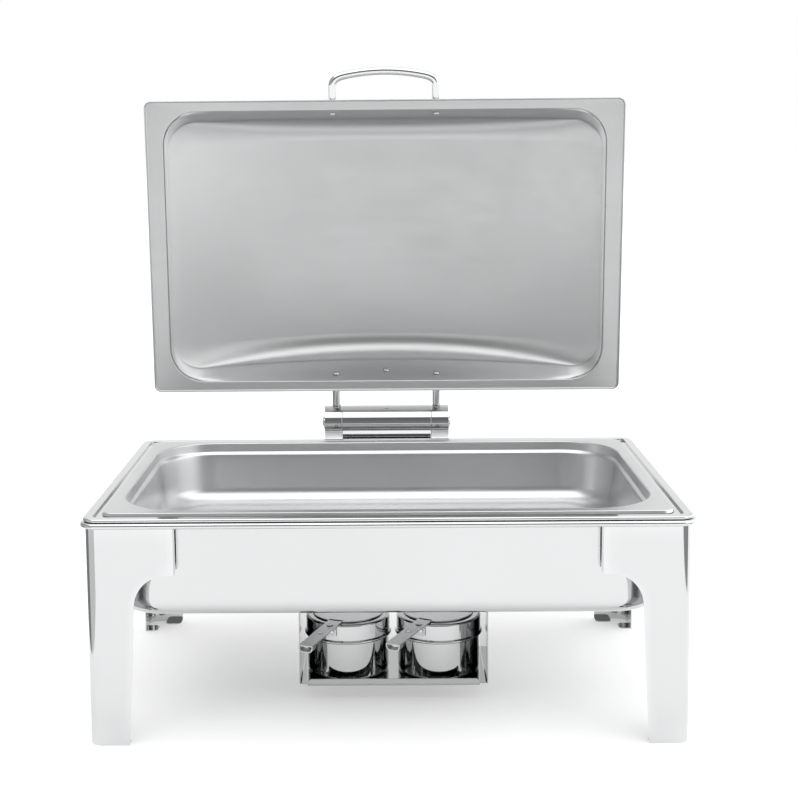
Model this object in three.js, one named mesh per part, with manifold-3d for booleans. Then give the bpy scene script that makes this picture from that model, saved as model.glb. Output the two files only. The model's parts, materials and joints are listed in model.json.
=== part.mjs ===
// A rectangular chafing dish: a water pan on four sheet legs, a lift-out food pan, a domed lid on a
// damped rear hinge, and two fuel burners in a tray that slides out from under the water pan.
// Millimetres, +Z up, the front faces -Y. While the pieces are made, y = 0 is the front edge of the
// water pan's rim, x = 0 is the middle and z = 0 is the table; at the end the whole group is moved to
// its bottom centre.
import * as THREE from "three";
import { mergeVertices } from "three/addons/utils/BufferGeometryUtils.js";
import Module from "manifold-3d";

// ---- Driving dimensions ----
const GAP = 0.3; // clearance between pieces that touch
const SHEET = 1.2; // sheet thickness of pans, legs and lid
const ROUND_SIDES = 28; // facets round a large turned piece
const HOLE_SIDES = 10;
const SCREW_SIDES = 9;

// Fasteners: head radius and height, shank radius and the radius of the hole that each goes through
const BOLT = { headR: 4, headH: 2.6, shankR: 1.9, holeR: 2.3 };
const WALL_SCREW = { headR: 4, headH: 2.2, shankR: 2, holeR: 2.4 };
const PAN_RIVET = { headR: 3.2, headH: 1.4, shankR: 1.4, holeR: 1.8 };
const TAB_RIVET = { headR: 2.4, headH: 0.8, shankR: 1.35, holeR: 1.7 };
const PIVOT_RIVET = { headR: 3.4, headH: 1, shankR: 1.8, holeR: 2.2 };

// Water pan and its rim
const RIM_W = 560;
const RIM_D = 357;
const RIM_TOP = 215;
const RIM_EDGE_H = 3.4; // height of the turned edge
const RIM_ROUND = 1.4;
const RIM_CORNER = 14;
const MID_Y = RIM_D / 2;
const GROOVE_OUT = 270.8; // half width to the outer wall of the sealing groove
const GROOVE_W = 4.2;
const GROOVE_CORNER = 9.5; // corner radius of the groove's outer wall
const GROOVE_FLOOR = RIM_TOP - 2.3;
const LEDGE_Z = RIM_TOP - 2;
const WATER_W = 524;
const WATER_D = 320;
const WATER_CORNER = 50;
const WATER_BOTTOM = 115.5;
const WATER_FILLET = 18;

// Food pan, a full-size gastronorm pan
const FOOD_W = 530;
const FOOD_D = 325;
const FOOD_OPEN_W = 505;
const FOOD_OPEN_D = 300;
const FOOD_DEPTH = 65;
const FOOD_CORNER = 60;
const FOOD_FILLET = 18;
const FOOD_FLANGE_CORNER = 12;
const FOOD_SHOULDER = 2.5; // step of the stacking shoulder
const FOOD_SHOULDER_Z = -10; // where the shoulder starts below the flange
const FOOD_DRAFT = 4;
const FOOD_TOP = RIM_TOP + 1.4;

// Stand ring and legs
const RING_W = 565;
const RING_D = 362;
const RING_TOP = RIM_TOP - RIM_EDGE_H - 0.4;
const RING_BEAD_H = 5.4;
const RING_SHELF = 2; // thickness of the shelf that the legs are bolted to
const RING_SHELF_W = 17.5;
const RING_UNDER = RING_TOP - RING_SHELF;
const LEG_TOP = RING_UNDER - GAP;
const LEG_X = 278; // outer face of a leg from the middle
const LEG_INSET = RIM_W / 2 - LEG_X; // the same inset from the front and rear edges
const LEG_TOP_W = 81.5;
const LEG_FOOT_W = 37.5;
const LEG_KNEE_W = 44.5; // width where the arch starts
const LEG_ARCH_TOP = 161.5;
const LEG_ARCH_R = 30;
const LEG_CORNER = 12;
const LEG_RETURN = 12; // the plates' free edges are turned in by this much above the arch
const LEG_FLANGE_W = 19; // turned-in top flange that the bolts go through
const LEG_FLANGE_L = 42;
const FOOT_TAB_W = 18;
const FOOT_TAB_L = 14;
const BOLT_PLACES = [
  // measured in from the leg's outer faces
  [34, 11],
  [11, 34],
];

// Lid, in its closed place
const LID_W = 538;
const LID_D = 335;
const LID_CORNER = 8;
const LID_OPEN_W = 498;
const LID_OPEN_D = 311;
const LID_OPEN_CORNER = 38;
const LID_RISE = 80;
const LID_DRAFT = 0.23; // slope of the front and rear walls, as inset over height
const LID_FILLET = 28;
const LID_END_SHARE = 0.35; // the ends close in by this share of what the front and rear do
const LID_FLANGE_Z = RIM_TOP + 2; // underside of the flange
const LID_LIP = 2.6; // how far the turned edge reaches below the flange
const WALL_SLOPE = Math.atan(LID_DRAFT);
const OPEN_ANGLE = 85.25; // degrees from closed to the open stop

// Hinge, with the lid closed
const HINGE_Y = RIM_D + 30;
const HINGE_Z = RIM_TOP + 13.6;
const BARREL_R = 19.7;
const BARREL_L = 103.4;
const BORE_R = 14;
const BUSH_L = 12;
const DAMPER_END_GAP = 6;
const COLLAR_L = 20.2;
const COLLAR_END = BARREL_L / 2 + GAP + COLLAR_L;
const SET_SCREW_R = 1.6;
const AXLE_R = 5;
const ROD_R = 4.9;
const ROD_X = 58.5;
const ROD_STOP = AXLE_R + 4.5; // how close a rod's end comes to the axis
const ROD_SINK = 1.1; // the countersink round a rod, in radius
const ROD_SINK_DEPTH = 1.7;
const FIXING_Z = HINGE_Z + 4.4; // rods and handle lie in one plane
const MIDDLE_SCREW_Z = FIXING_Z + 8.5;
const CAP_R = 7;
const CAP_H = 3.2;

// Stiffening plate on the outside of the dome's rear wall
const PLATE_T = 2;
const PLATE_HALF = 72;
const PLATE_DOWN = 9;
const PLATE_UP = 17;

// Folded bracket that carries the hinge on the stand ring
const BRACKET_HALF = BARREL_L / 2;
const BRACKET_T = 3;
const BRACKET_Y = RIM_D + 3.2;
const BRACKET_FRONT = RIM_D - 13;
const BRACKET_LOW = LEG_TOP - 7;
const BRACKET_SCREW_X = 34;
const BRACKET_SCREW_Y = RIM_D - 8;
const PAD_HALF = 9;
const PAD_L = 10;
const SADDLE_Z = HINGE_Z - BARREL_R + 2;
const SADDLE_T = 5;

// Handle
const HANDLE_R = 4.6;
const HANDLE_X = 58.5;
const HANDLE_REACH = 31; // middle of the bar beyond the lid's edge
const HANDLE_BOW = 4.6; // rise of the arched bar
const HANDLE_SHOULDER = 14;

// Burner tray and rails
const TRAY_X = 5; // the tray hangs a little right of the middle
const TRAY_W = 187;
const TRAY_FRONT = 99;
const TRAY_L = 110;
const TRAY_Z = 18.5;
const TRAY_SHEET = 1;
const TRAY_CORNER = 6; // round lower front corner of a side plate
const TRAY_LIP_W = 171;
const TRAY_LIP_H = 7.5;
const TRAY_LIP_R = 5;
const TRAY_FLANGE = 8;
const TRAY_TOP = WATER_BOTTOM - 5;
const RAIL_FRONT = 62;
const RAIL_L = 200;
const RAIL_SHEET = 1.2;
const RAIL_CLEAR = 0.6; // from a tray side to the rail's inner edge
const RAIL_RIVET_Y = [RAIL_FRONT + 20, RAIL_FRONT + RAIL_L - 20];
const RAIL_RIVET_X = TRAY_W / 2 + RAIL_CLEAR + 4.5;

// Burners
const BURNER_PITCH = 92;
const BURNER_Y = TRAY_FRONT + 51;
const CUP_R = 41.6;
const CUP_H = 50;
const CUP_SHEET = 1;
const CUP_Z = TRAY_Z + TRAY_SHEET + GAP;
const COVER_R = 43;
const COVER_SHEET = 0.9;
const COVER_BEAD_R = 44.6;
const COVER_TOP = 78;
const COVER_H = 20;
const COVER_HOLE_R = 32;
const DISC_R = 35.5;
const STRIP_ANGLE = { left: 20, right: 25 }; // degrees that each strip points left of straight ahead
const STRIP_W = 14.5;
const STRIP_REACH = 108; // from the middle of the cover to the grip
const STRIP_T = 1.2;
const GRIP_H = 7.2; // the flat loop at the strip's end
const GRIP_L = 9;
const GRIP_LEAD = 3.2; // how far the loop's mouth stands past the strip
const GRIP_ROUND = 4.6;
const EYE_R = 74.5; // the round eye's distance from the middle of the cover
const EYE_ROUND = 3.2;
const PIVOT_R = 49.5; // the rivet's distance from the middle of the cover
const TAB_HALF = 4.5; // half width of the cover's bracket
const TAB_DROP = 10;
const TAB_TOP = COVER_TOP - 1.4;
const TAB_RIVET_Z = COVER_TOP - 7;

// ---- Solids ----
const wasm = await Module();
wasm.setup();

function toSolid(geometry) {
  const bare = new THREE.BufferGeometry();
  const source = geometry.index ? geometry.toNonIndexed() : geometry;
  bare.setAttribute("position", source.getAttribute("position").clone());
  const merged = mergeVertices(bare, 1e-4);
  return new wasm.Manifold(
    new wasm.Mesh({
      numProp: 3,
      vertProperties: new Float32Array(merged.attributes.position.array),
      triVerts: new Uint32Array(merged.index.array),
    }),
  );
}

function toGeometry(solid) {
  const made = solid.getMesh();
  const positions = new Float32Array(made.numVert * 3);
  for (let i = 0; i < made.numVert; i++) {
    const start = i * made.numProp;
    positions.set(made.vertProperties.subarray(start, start + 3), i * 3);
  }
  const geometry = new THREE.BufferGeometry();
  geometry.setAttribute("position", new THREE.BufferAttribute(positions, 3));
  geometry.setIndex(new THREE.BufferAttribute(new Uint32Array(made.triVerts), 1));
  return geometry;
}

function join(...geometries) {
  return toGeometry(geometries.map(toSolid).reduce((all, next) => all.add(next)));
}

function cut(geometry, ...tools) {
  return toGeometry(tools.map(toSolid).reduce((left, tool) => left.subtract(tool), toSolid(geometry)));
}

// ---- Basic shapes ----
function block([x0, x1], [y0, y1], [z0, z1]) {
  const made = new THREE.BoxGeometry(x1 - x0, y1 - y0, z1 - z0);
  return made.translate((x0 + x1) / 2, (y0 + y1) / 2, (z0 + z1) / 2);
}

function turned(profile, sides = 20) {
  const points = profile.map(([r, z]) => new THREE.Vector2(r, z));
  return new THREE.LatheGeometry(points, sides).rotateX(Math.PI / 2);
}

// A round bar from z0 to z1 on the Z axis.
function bar(radius, z0, z1, sides = 16) {
  return turned([[0, z0], [radius, z0], [radius, z1], [0, z1]], sides);
}

function ringBar(outer, inner, z0, z1, sides = 24) {
  return turned([[inner, z0], [outer, z0], [outer, z1], [inner, z1], [inner, z0]], sides);
}

function alongX(geometry) {
  return geometry.rotateY(Math.PI / 2);
}

function alongY(geometry) {
  return geometry.rotateX(-Math.PI / 2);
}

// Stands a flat extrusion up: its outline goes into x,z and its depth runs along -Y.
function uprightXZ(geometry) {
  return geometry.rotateX(Math.PI / 2);
}

// Stands a flat extrusion up: its outline goes into y,z and its depth runs along +X.
function uprightYZ(geometry) {
  return geometry.rotateX(Math.PI / 2).rotateZ(Math.PI / 2);
}

function extruded(shape, depth, curveSegments = 5) {
  return new THREE.ExtrudeGeometry(shape, { depth, bevelEnabled: false, curveSegments });
}

// A pan-head screw or rivet on the Z axis: the head's underside is at z = 0 and the shank runs down.
function screw({ headR, headH, shankR }, shankL) {
  return turned(
    [
      [0, -shankL],
      [shankR, -shankL],
      [shankR, 0],
      [headR, 0],
      [headR * 0.8, headH],
      [0, headH],
    ],
    SCREW_SIDES,
  );
}

function hole({ holeR }, z0, z1) {
  return bar(holeR, z0, z1, HOLE_SIDES);
}

// One level of a rounded rectangle: half sizes, corner radius and height. heightAt may bend it over x.
function level(halfX, halfY, radius, z, heightAt = () => z) {
  return { halfX, halfY, radius: Math.max(radius, 0.5), heightAt };
}

function levelPoints({ halfX, halfY, radius, heightAt }, cornerSteps, sideSteps) {
  const points = [];
  const corners = [
    [1, 1, 0],
    [-1, 1, 90],
    [-1, -1, 180],
    [1, -1, 270],
  ];
  corners.forEach(([sx, sy, start], k) => {
    const cx = sx * (halfX - radius);
    const cy = sy * (halfY - radius);
    for (let i = 0; i <= cornerSteps; i++) {
      const a = THREE.MathUtils.degToRad(start + (90 * i) / cornerSteps);
      points.push([cx + radius * Math.cos(a), cy + radius * Math.sin(a)]);
    }
    const steps = k % 2 === 0 ? sideSteps : 1; // the long sides run along x
    const [x0, y0] = points[points.length - 1];
    for (let i = 1; i < steps; i++) points.push([x0 - (2 * cx * i) / steps, y0]);
  });
  return points.map(([x, y]) => [x, y + MID_Y, heightAt(x, y)]);
}

// Skins a stack of levels. With closed, the last level joins the first; otherwise both ends are capped.
function skin(levels, { closed = false, cornerSteps = 4, sideSteps = 1 } = {}) {
  const rows = levels.map((l) => levelPoints(l, cornerSteps, sideSteps));
  const count = rows[0].length;
  const positions = rows.flat(2);
  const index = [];
  const last = closed ? rows.length : rows.length - 1;
  for (let r = 0; r < last; r++) {
    const a = r * count;
    const b = ((r + 1) % rows.length) * count;
    for (let i = 0; i < count; i++) {
      const j = (i + 1) % count;
      index.push(a + i, a + j, b + j, a + i, b + j, b + i);
    }
  }
  if (!closed) {
    // Each end is closed by strips across y: point i faces point count - 1 - i.
    const top = (rows.length - 1) * count;
    for (let i = 0; i < count / 2 - 1; i++) {
      const [j, k, l] = [i + 1, count - 2 - i, count - 1 - i];
      index.push(j, i, l, j, l, k);
      index.push(top + i, top + j, top + k, top + i, top + k, top + l);
    }
  }
  const made = new THREE.BufferGeometry();
  made.setAttribute("position", new THREE.Float32BufferAttribute(positions, 3));
  made.setIndex(index);
  return made;
}

// ---- Materials ----
function steel(color, roughness) {
  return new THREE.MeshStandardMaterial({ color, roughness, metalness: 1 });
}

const mirror = steel(0xd8dadb, 0.12);
const satin = steel(0xb9bbbc, 0.32);
const chrome = steel(0xe2e4e6, 0.06);
const plain = steel(0xa9abad, 0.25);
const bronze = steel(0x9c7a4d, 0.4);
const black = new THREE.MeshStandardMaterial({ color: 0x1c1c1e, roughness: 0.55, metalness: 0 });

function add(parent, name, geometry, material) {
  const mesh = new THREE.Mesh(geometry, material.clone());
  mesh.name = name;
  parent.add(mesh);
  return mesh;
}

// ---- Pans ----
// Quarter round from a wall into a floor, as [inset, height] pairs, from the floor up.
function filletSteps(radius, steps) {
  return Array.from({ length: steps + 1 }, (_, i) => {
    const a = ((Math.PI / 2) * i) / steps;
    return [radius * (1 - Math.sin(a)), radius * (1 - Math.cos(a))];
  });
}

function waterPan() {
  const hx = WATER_W / 2;
  const hy = WATER_D / 2;
  const skirt = (RIM_W - RIM_D) / 2; // half width less half depth, the same for every rim line
  const rimLevel = (half, radius, z) => level(half, half - skirt, radius, z);
  const under = RIM_TOP - RIM_EDGE_H;
  const edge = RIM_W / 2;
  const outside = filletSteps(WATER_FILLET, 3).map(([inset, up]) =>
    level(hx - inset, hy - inset, WATER_CORNER - inset, WATER_BOTTOM + up),
  );
  const rim = [
    level(hx, hy, WATER_CORNER, under),
    rimLevel(edge - RIM_ROUND, RIM_CORNER - RIM_ROUND, under),
    rimLevel(edge, RIM_CORNER, under + RIM_ROUND),
    rimLevel(edge, RIM_CORNER, RIM_TOP - RIM_ROUND),
    rimLevel(edge - RIM_ROUND, RIM_CORNER - RIM_ROUND, RIM_TOP),
    rimLevel(GROOVE_OUT, GROOVE_CORNER, RIM_TOP),
    rimLevel(GROOVE_OUT, GROOVE_CORNER, GROOVE_FLOOR),
    rimLevel(GROOVE_OUT - GROOVE_W, GROOVE_CORNER - GROOVE_W, GROOVE_FLOOR),
    rimLevel(GROOVE_OUT - GROOVE_W, GROOVE_CORNER - GROOVE_W, LEDGE_Z),
    level(hx - SHEET, hy - SHEET, WATER_CORNER - SHEET, LEDGE_Z),
  ];
  const inside = filletSteps(WATER_FILLET - SHEET, 3)
    .reverse()
    .map(([inset, up]) =>
      level(
        hx - SHEET - inset,
        hy - SHEET - inset,
        WATER_CORNER - SHEET - inset,
        WATER_BOTTOM + SHEET + up,
      ),
    );
  return skin([...outside, ...rim, ...inside]);
}

function foodPan() {
  const hx = FOOD_OPEN_W / 2;
  const hy = FOOD_OPEN_D / 2;
  const bottom = FOOD_TOP - FOOD_DEPTH;
  const below = 1 + FOOD_SHOULDER; // inset under the shoulder
  // Inside face, from the opening down: [inset, z].
  const wall = [
    [0, FOOD_TOP],
    [1, FOOD_TOP + FOOD_SHOULDER_Z],
    [below, FOOD_TOP + FOOD_SHOULDER_Z - FOOD_SHOULDER - 1],
    ...filletSteps(FOOD_FILLET, 3)
      .reverse()
      .map(([inset, up]) => [below + FOOD_DRAFT + inset, bottom + up]),
  ];
  const inside = wall.map(([inset, z]) => level(hx - inset, hy - inset, FOOD_CORNER - inset, z));
  const outside = wall
    .slice(1)
    .reverse()
    .map(([inset, z]) =>
      level(hx - inset + SHEET, hy - inset + SHEET, FOOD_CORNER - inset + SHEET, z - SHEET),
    );
  const fx = FOOD_W / 2;
  const fy = FOOD_D / 2;
  const under = FOOD_TOP - SHEET;
  const edge = (inset, z) => level(fx - inset, fy - inset, FOOD_FLANGE_CORNER - inset, z);
  const flange = [
    level(hx + SHEET, hy + SHEET, FOOD_CORNER + SHEET, under),
    edge(SHEET, under),
    edge(SHEET, LEDGE_Z + GAP),
    edge(0, LEDGE_Z + GAP),
    edge(0, FOOD_TOP - 0.6),
    edge(0.8, FOOD_TOP),
  ];
  return skin([...outside, ...flange, ...inside]);
}

// ---- Stand ----
const SIDES = [
  ["left", -1],
  ["right", 1],
];
const ENDS = [
  ["front", 1, 0],
  ["rear", -1, RIM_D],
];

function standRing() {
  const hx = RING_W / 2;
  const hy = RING_D / 2;
  const at = (inset, z) => level(hx - inset, hy - inset, RIM_CORNER + 2.5 - inset, z);
  const low = RING_TOP - RING_BEAD_H;
  const bead = skin(
    [
      at(3.8, low),
      at(1, low + 0.9),
      at(0, low + RING_BEAD_H / 2),
      at(1, RING_TOP - 0.9),
      at(3, RING_TOP),
      at(RING_SHELF_W, RING_TOP),
      at(RING_SHELF_W, RING_UNDER),
      at(3.8, RING_UNDER),
    ],
    { closed: true },
  );
  const holes = legCorners().flatMap(({ place }) => BOLT_PLACES.map((p) => boltHole(place, p)));
  return cut(bead, ...holes);
}

// The four legs as a name and a function that places a point given from the outer corner inwards.
function legCorners() {
  return ENDS.flatMap(([end, sy, edgeY]) =>
    SIDES.map(([side, sx]) => ({
      name: `${end}_${side}`,
      sx,
      sy,
      place: (x, y) => [sx * (LEG_X - x), edgeY + sy * (LEG_INSET + y)],
    })),
  );
}

function boltHole(place, [x, y]) {
  const [px, py] = place(x, y);
  return hole(BOLT, LEG_TOP - 8, RING_TOP + 2).translate(px, py, 0);
}

// A leg in its own corner frame: the outer corner at 0,0, one plate along +x and one along +y.
function legGeometry() {
  const r = LEG_CORNER;
  const inner = LEG_TOP_W - SHEET;
  const plan = new THREE.Shape();
  plan.moveTo(LEG_TOP_W, 0);
  plan.lineTo(LEG_TOP_W, LEG_RETURN);
  plan.lineTo(inner, LEG_RETURN);
  plan.lineTo(inner, SHEET);
  plan.lineTo(r, SHEET);
  plan.absarc(r, r, r - SHEET, -Math.PI / 2, -Math.PI, true);
  plan.lineTo(SHEET, inner);
  plan.lineTo(LEG_RETURN, inner);
  plan.lineTo(LEG_RETURN, LEG_TOP_W);
  plan.lineTo(0, LEG_TOP_W);
  plan.lineTo(0, r);
  plan.absarc(r, r, r, Math.PI, Math.PI * 1.5, false);
  plan.closePath();
  const sheet = extruded(plan, LEG_TOP);

  // What is cut out of each plate: a straight leg below a quarter-round arch.
  const below = -5;
  const beyond = LEG_TOP_W + 5;
  const archFoot = LEG_ARCH_TOP - LEG_ARCH_R;
  const arch = new THREE.Shape();
  arch.moveTo(LEG_FOOT_W, below);
  arch.lineTo(LEG_FOOT_W, 0);
  arch.lineTo(LEG_KNEE_W, archFoot);
  arch.absarc(LEG_KNEE_W + LEG_ARCH_R, archFoot, LEG_ARCH_R, Math.PI, Math.PI / 2, true);
  arch.lineTo(beyond, LEG_ARCH_TOP);
  arch.lineTo(beyond, below);
  arch.closePath();
  const depth = LEG_RETURN + 2 * SHEET;
  const frontCut = uprightXZ(extruded(arch, depth, 8)).translate(0, LEG_RETURN + SHEET, 0);
  const sideCut = uprightYZ(extruded(arch, depth, 8)).translate(-SHEET, 0, 0);

  const middle = SHEET / 2; // tabs and flanges start inside the plate that they are folded from
  const tabAlong = [LEG_FOOT_W - FOOT_TAB_W, LEG_FOOT_W - 0.2];
  const tabs = [
    block(tabAlong, [middle, FOOT_TAB_L], [0, SHEET]),
    block([middle, FOOT_TAB_L], tabAlong, [0, SHEET]),
  ];
  const flanges = join(
    block([middle, LEG_FLANGE_L], [middle, LEG_FLANGE_W], [LEG_TOP - SHEET, LEG_TOP]),
    block([middle, LEG_FLANGE_W], [middle, LEG_FLANGE_L], [LEG_TOP - SHEET, LEG_TOP]),
  );
  const outsideRound = cut(
    block([-1, r], [-1, r], [LEG_TOP - 2 * SHEET, LEG_TOP + 1]),
    bar(r, LEG_TOP - 3 * SHEET, LEG_TOP + 2, 40).translate(r, r, 0),
  );
  const leg = join(cut(sheet, frontCut, sideCut), cut(flanges, outsideRound), ...tabs);
  const holes = BOLT_PLACES.map(([x, y]) => hole(BOLT, LEG_TOP - 8, LEG_TOP + 2).translate(x, y, 0));
  return cut(leg, ...holes);
}

function addStand(root) {
  add(root, "stand_ring", standRing(), mirror);
  const leg = legGeometry();
  legCorners().forEach(({ name, sx, sy, place }) => {
    const [x, y] = place(0, 0);
    const mesh = add(root, `leg_${name}`, leg, mirror);
    mesh.position.set(x, y, 0);
    mesh.scale.set(-sx, sy, 1); // the same leg, mirrored into each corner
    BOLT_PLACES.forEach(([bx, by], k) => {
      const [px, py] = place(bx, by);
      const bolt = screw(BOLT, SHEET + GAP + RING_SHELF + 0.2).rotateX(Math.PI);
      const where = k === 0 ? "inner" : "outer";
      const made = add(root, `leg_bolt_${name}_${where}`, bolt, plain);
      made.position.set(px, py, LEG_TOP - SHEET - GAP);
    });
  });
}

// ---- Lid ----
// The dome is an arch over x: its height at x for the whole rise.
function archHeight(x, halfSpan, rise) {
  const radius = (halfSpan ** 2 + rise ** 2) / (2 * rise);
  const inside = Math.max(radius ** 2 - Math.min(Math.abs(x), halfSpan) ** 2, 0);
  return Math.sqrt(inside) - (radius - rise);
}

// Levels of one face of the dome from the flange up to the crown.
function domeLevels(shift) {
  const hx = LID_OPEN_W / 2 + shift;
  const hy = LID_OPEN_D / 2 + shift;
  const base = LID_FLANGE_Z + shift;
  const wallTop = 1 - LID_FILLET / LID_RISE;
  const wallInset = LID_DRAFT * (LID_RISE - LID_FILLET);
  const steps = [
    [0, 0],
    [wallInset * 0.5, wallTop * 0.5],
    [wallInset, wallTop],
  ];
  for (let i = 1; i <= 4; i++) {
    const a = ((Math.PI / 2) * i) / 4;
    steps.push([
      wallInset + LID_FILLET * (1 - Math.cos(a)),
      wallTop + (1 - wallTop) * Math.sin(a),
    ]);
  }
  return steps.map(([inset, part]) => {
    // The dome's ends are what the arch leaves of them, so the levels close in less there.
    const endInset = inset * LID_END_SHARE;
    const radius = Math.max(LID_OPEN_CORNER + shift - inset * 0.5, 4);
    const height = (x) => base + part * archHeight(x, hx, LID_RISE);
    return level(hx - endInset, hy - inset, Math.min(radius, hy - inset), base, height);
  });
}

function lidShell() {
  const outside = domeLevels(SHEET);
  const inside = domeLevels(0).reverse();
  const hx = LID_W / 2;
  const hy = LID_D / 2;
  const top = LID_FLANGE_Z + SHEET;
  const flat = (inset, radius, z) => level(hx - inset, hy - inset, radius, z);
  const flange = [
    flat(SHEET, LID_CORNER - SHEET, LID_FLANGE_Z),
    flat(SHEET, LID_CORNER - SHEET, LID_FLANGE_Z - LID_LIP),
    flat(0, LID_CORNER, LID_FLANGE_Z - LID_LIP),
    flat(0, LID_CORNER, top - 1),
    flat(1, LID_CORNER - 1, top),
  ];
  return skin([...inside, ...flange, ...outside], { cornerSteps: 5, sideSteps: 12 });
}

// How far the inner face of the dome's front or rear wall stands from the middle.
function wallY(x, z) {
  const steeper = LID_RISE / archHeight(x, LID_OPEN_W / 2, LID_RISE);
  return LID_OPEN_D / 2 - LID_DRAFT * steeper * (z - LID_FLANGE_Z);
}

const WALL_Y = wallY(0, FIXING_Z); // the wall in the middle, where handle and hinge are fixed

// A fastener through the front (-1) or rear (1) wall of the dome: head inside, pointing outwards.
function wallScrew(x, z, end) {
  const made = screw(WALL_SCREW, 9);
  made.rotateX(end > 0 ? -Math.PI / 2 : Math.PI / 2);
  made.rotateX(Math.PI);
  made.rotateX(end * WALL_SLOPE);
  return made.translate(x, MID_Y + end * (wallY(x, z) - GAP), z);
}

function wallHole(x, z, end) {
  const made = hole(WALL_SCREW, -12, 12).rotateX(Math.PI / 2 + end * WALL_SLOPE);
  return made.translate(x, MID_Y + end * wallY(x, z), z);
}

// The bow handle: two legs out from the front wall, round shoulders and an arched bar, bent from one rod.
function lidHandle() {
  const root = MID_Y - WALL_Y - SHEET - HANDLE_R * LID_DRAFT - 2 * GAP;
  const barY = MID_Y - LID_D / 2 - HANDLE_REACH;
  const shoulderX = HANDLE_X - HANDLE_SHOULDER;
  const shoulderY = barY + HANDLE_BOW;
  const legY = shoulderY + HANDLE_SHOULDER * 0.8;
  const slope = (2 * HANDLE_BOW) / shoulderX; // of the arch where it meets the shoulder
  const pull = HANDLE_SHOULDER / 2;
  const at = (x, y) => new THREE.Vector3(x, y, FIXING_Z);
  const shoulder = (s) => [
    at(s * HANDLE_X, legY),
    at(s * HANDLE_X, legY - pull),
    at(s * (shoulderX + pull), shoulderY + pull * slope),
    at(s * shoulderX, shoulderY),
  ];
  const arch = [at(-shoulderX, shoulderY), at(0, barY - HANDLE_BOW), at(shoulderX, shoulderY)];
  const path = new THREE.CurvePath();
  path.add(new THREE.LineCurve3(at(-HANDLE_X, root), at(-HANDLE_X, legY)));
  path.add(new THREE.CubicBezierCurve3(...shoulder(-1)));
  path.add(new THREE.QuadraticBezierCurve3(...arch));
  path.add(new THREE.CubicBezierCurve3(...shoulder(1).reverse()));
  path.add(new THREE.LineCurve3(at(HANDLE_X, legY), at(HANDLE_X, root)));
  const section = new THREE.Shape();
  section.absarc(0, 0, HANDLE_R, 0, Math.PI * 2, false);
  const tube = new THREE.ExtrudeGeometry(section, { steps: 32, extrudePath: path, curveSegments: 5 });
  const threads = [-1, 1].map((s) => wallHole(s * HANDLE_X, FIXING_Z, -1));
  return cut(tube, ...threads);
}

const HINGE_SCREWS = [
  ["left", -ROD_X, FIXING_Z],
  ["centre", 0, MIDDLE_SCREW_Z],
  ["right", ROD_X, FIXING_Z],
];

// The stiffening plate that the rods butt on.
function hingePlate() {
  const made = block([-PLATE_HALF, PLATE_HALF], [0, PLATE_T], [-PLATE_DOWN, PLATE_UP]);
  made.rotateX(WALL_SLOPE).translate(0, MID_Y + WALL_Y + SHEET * 1.05 + GAP, FIXING_Z);
  return cut(made, ...HINGE_SCREWS.map(([, x, z]) => wallHole(x, z, 1)));
}

function hingeRod(x) {
  const start = MID_Y + WALL_Y + SHEET + PLATE_T + 3 * GAP + ROD_R * LID_DRAFT;
  const end = HINGE_Y - ROD_STOP;
  const rod = alongY(bar(ROD_R, start, end, 16)).translate(x, 0, FIXING_Z);
  return cut(rod, wallHole(x, FIXING_Z, 1));
}

function hingeCollar(side) {
  const inner = BARREL_L / 2 + GAP;
  const ring = ringBar(BARREL_R, AXLE_R + GAP, 0, COLLAR_L, ROUND_SIDES);
  const placed = alongX(ring).translate(side > 0 ? inner : -inner - COLLAR_L, HINGE_Y, HINGE_Z);
  const place = (tool) => alongY(tool).translate(side * ROD_X, HINGE_Y, FIXING_Z);
  const seat = place(bar(ROD_R + GAP, -2 * BARREL_R, -ROD_STOP + GAP));
  const sink = place(bar(ROD_R + ROD_SINK, -2 * BARREL_R, -BARREL_R + ROD_SINK_DEPTH));
  const thread = bar(SET_SCREW_R + GAP, -BARREL_R - 2, -AXLE_R - 2, HOLE_SIDES);
  return cut(placed, seat, sink, thread.translate(side * ROD_X, HINGE_Y, HINGE_Z));
}

function setScrew(side) {
  const made = bar(SET_SCREW_R, -BARREL_R + 0.6, -AXLE_R - 3, HOLE_SIDES);
  return made.translate(side * ROD_X, HINGE_Y, HINGE_Z);
}

function hingeCap(side) {
  const dome = turned(
    [
      [0, 0],
      [CAP_R, 0],
      [CAP_R, CAP_H * 0.3],
      [CAP_R * 0.7, CAP_H * 0.75],
      [CAP_R * 0.35, CAP_H * 0.97],
      [0, CAP_H],
    ],
    16,
  );
  return dome.rotateY((side * Math.PI) / 2).translate(side * (COLLAR_END + GAP), HINGE_Y, HINGE_Z);
}

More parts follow.
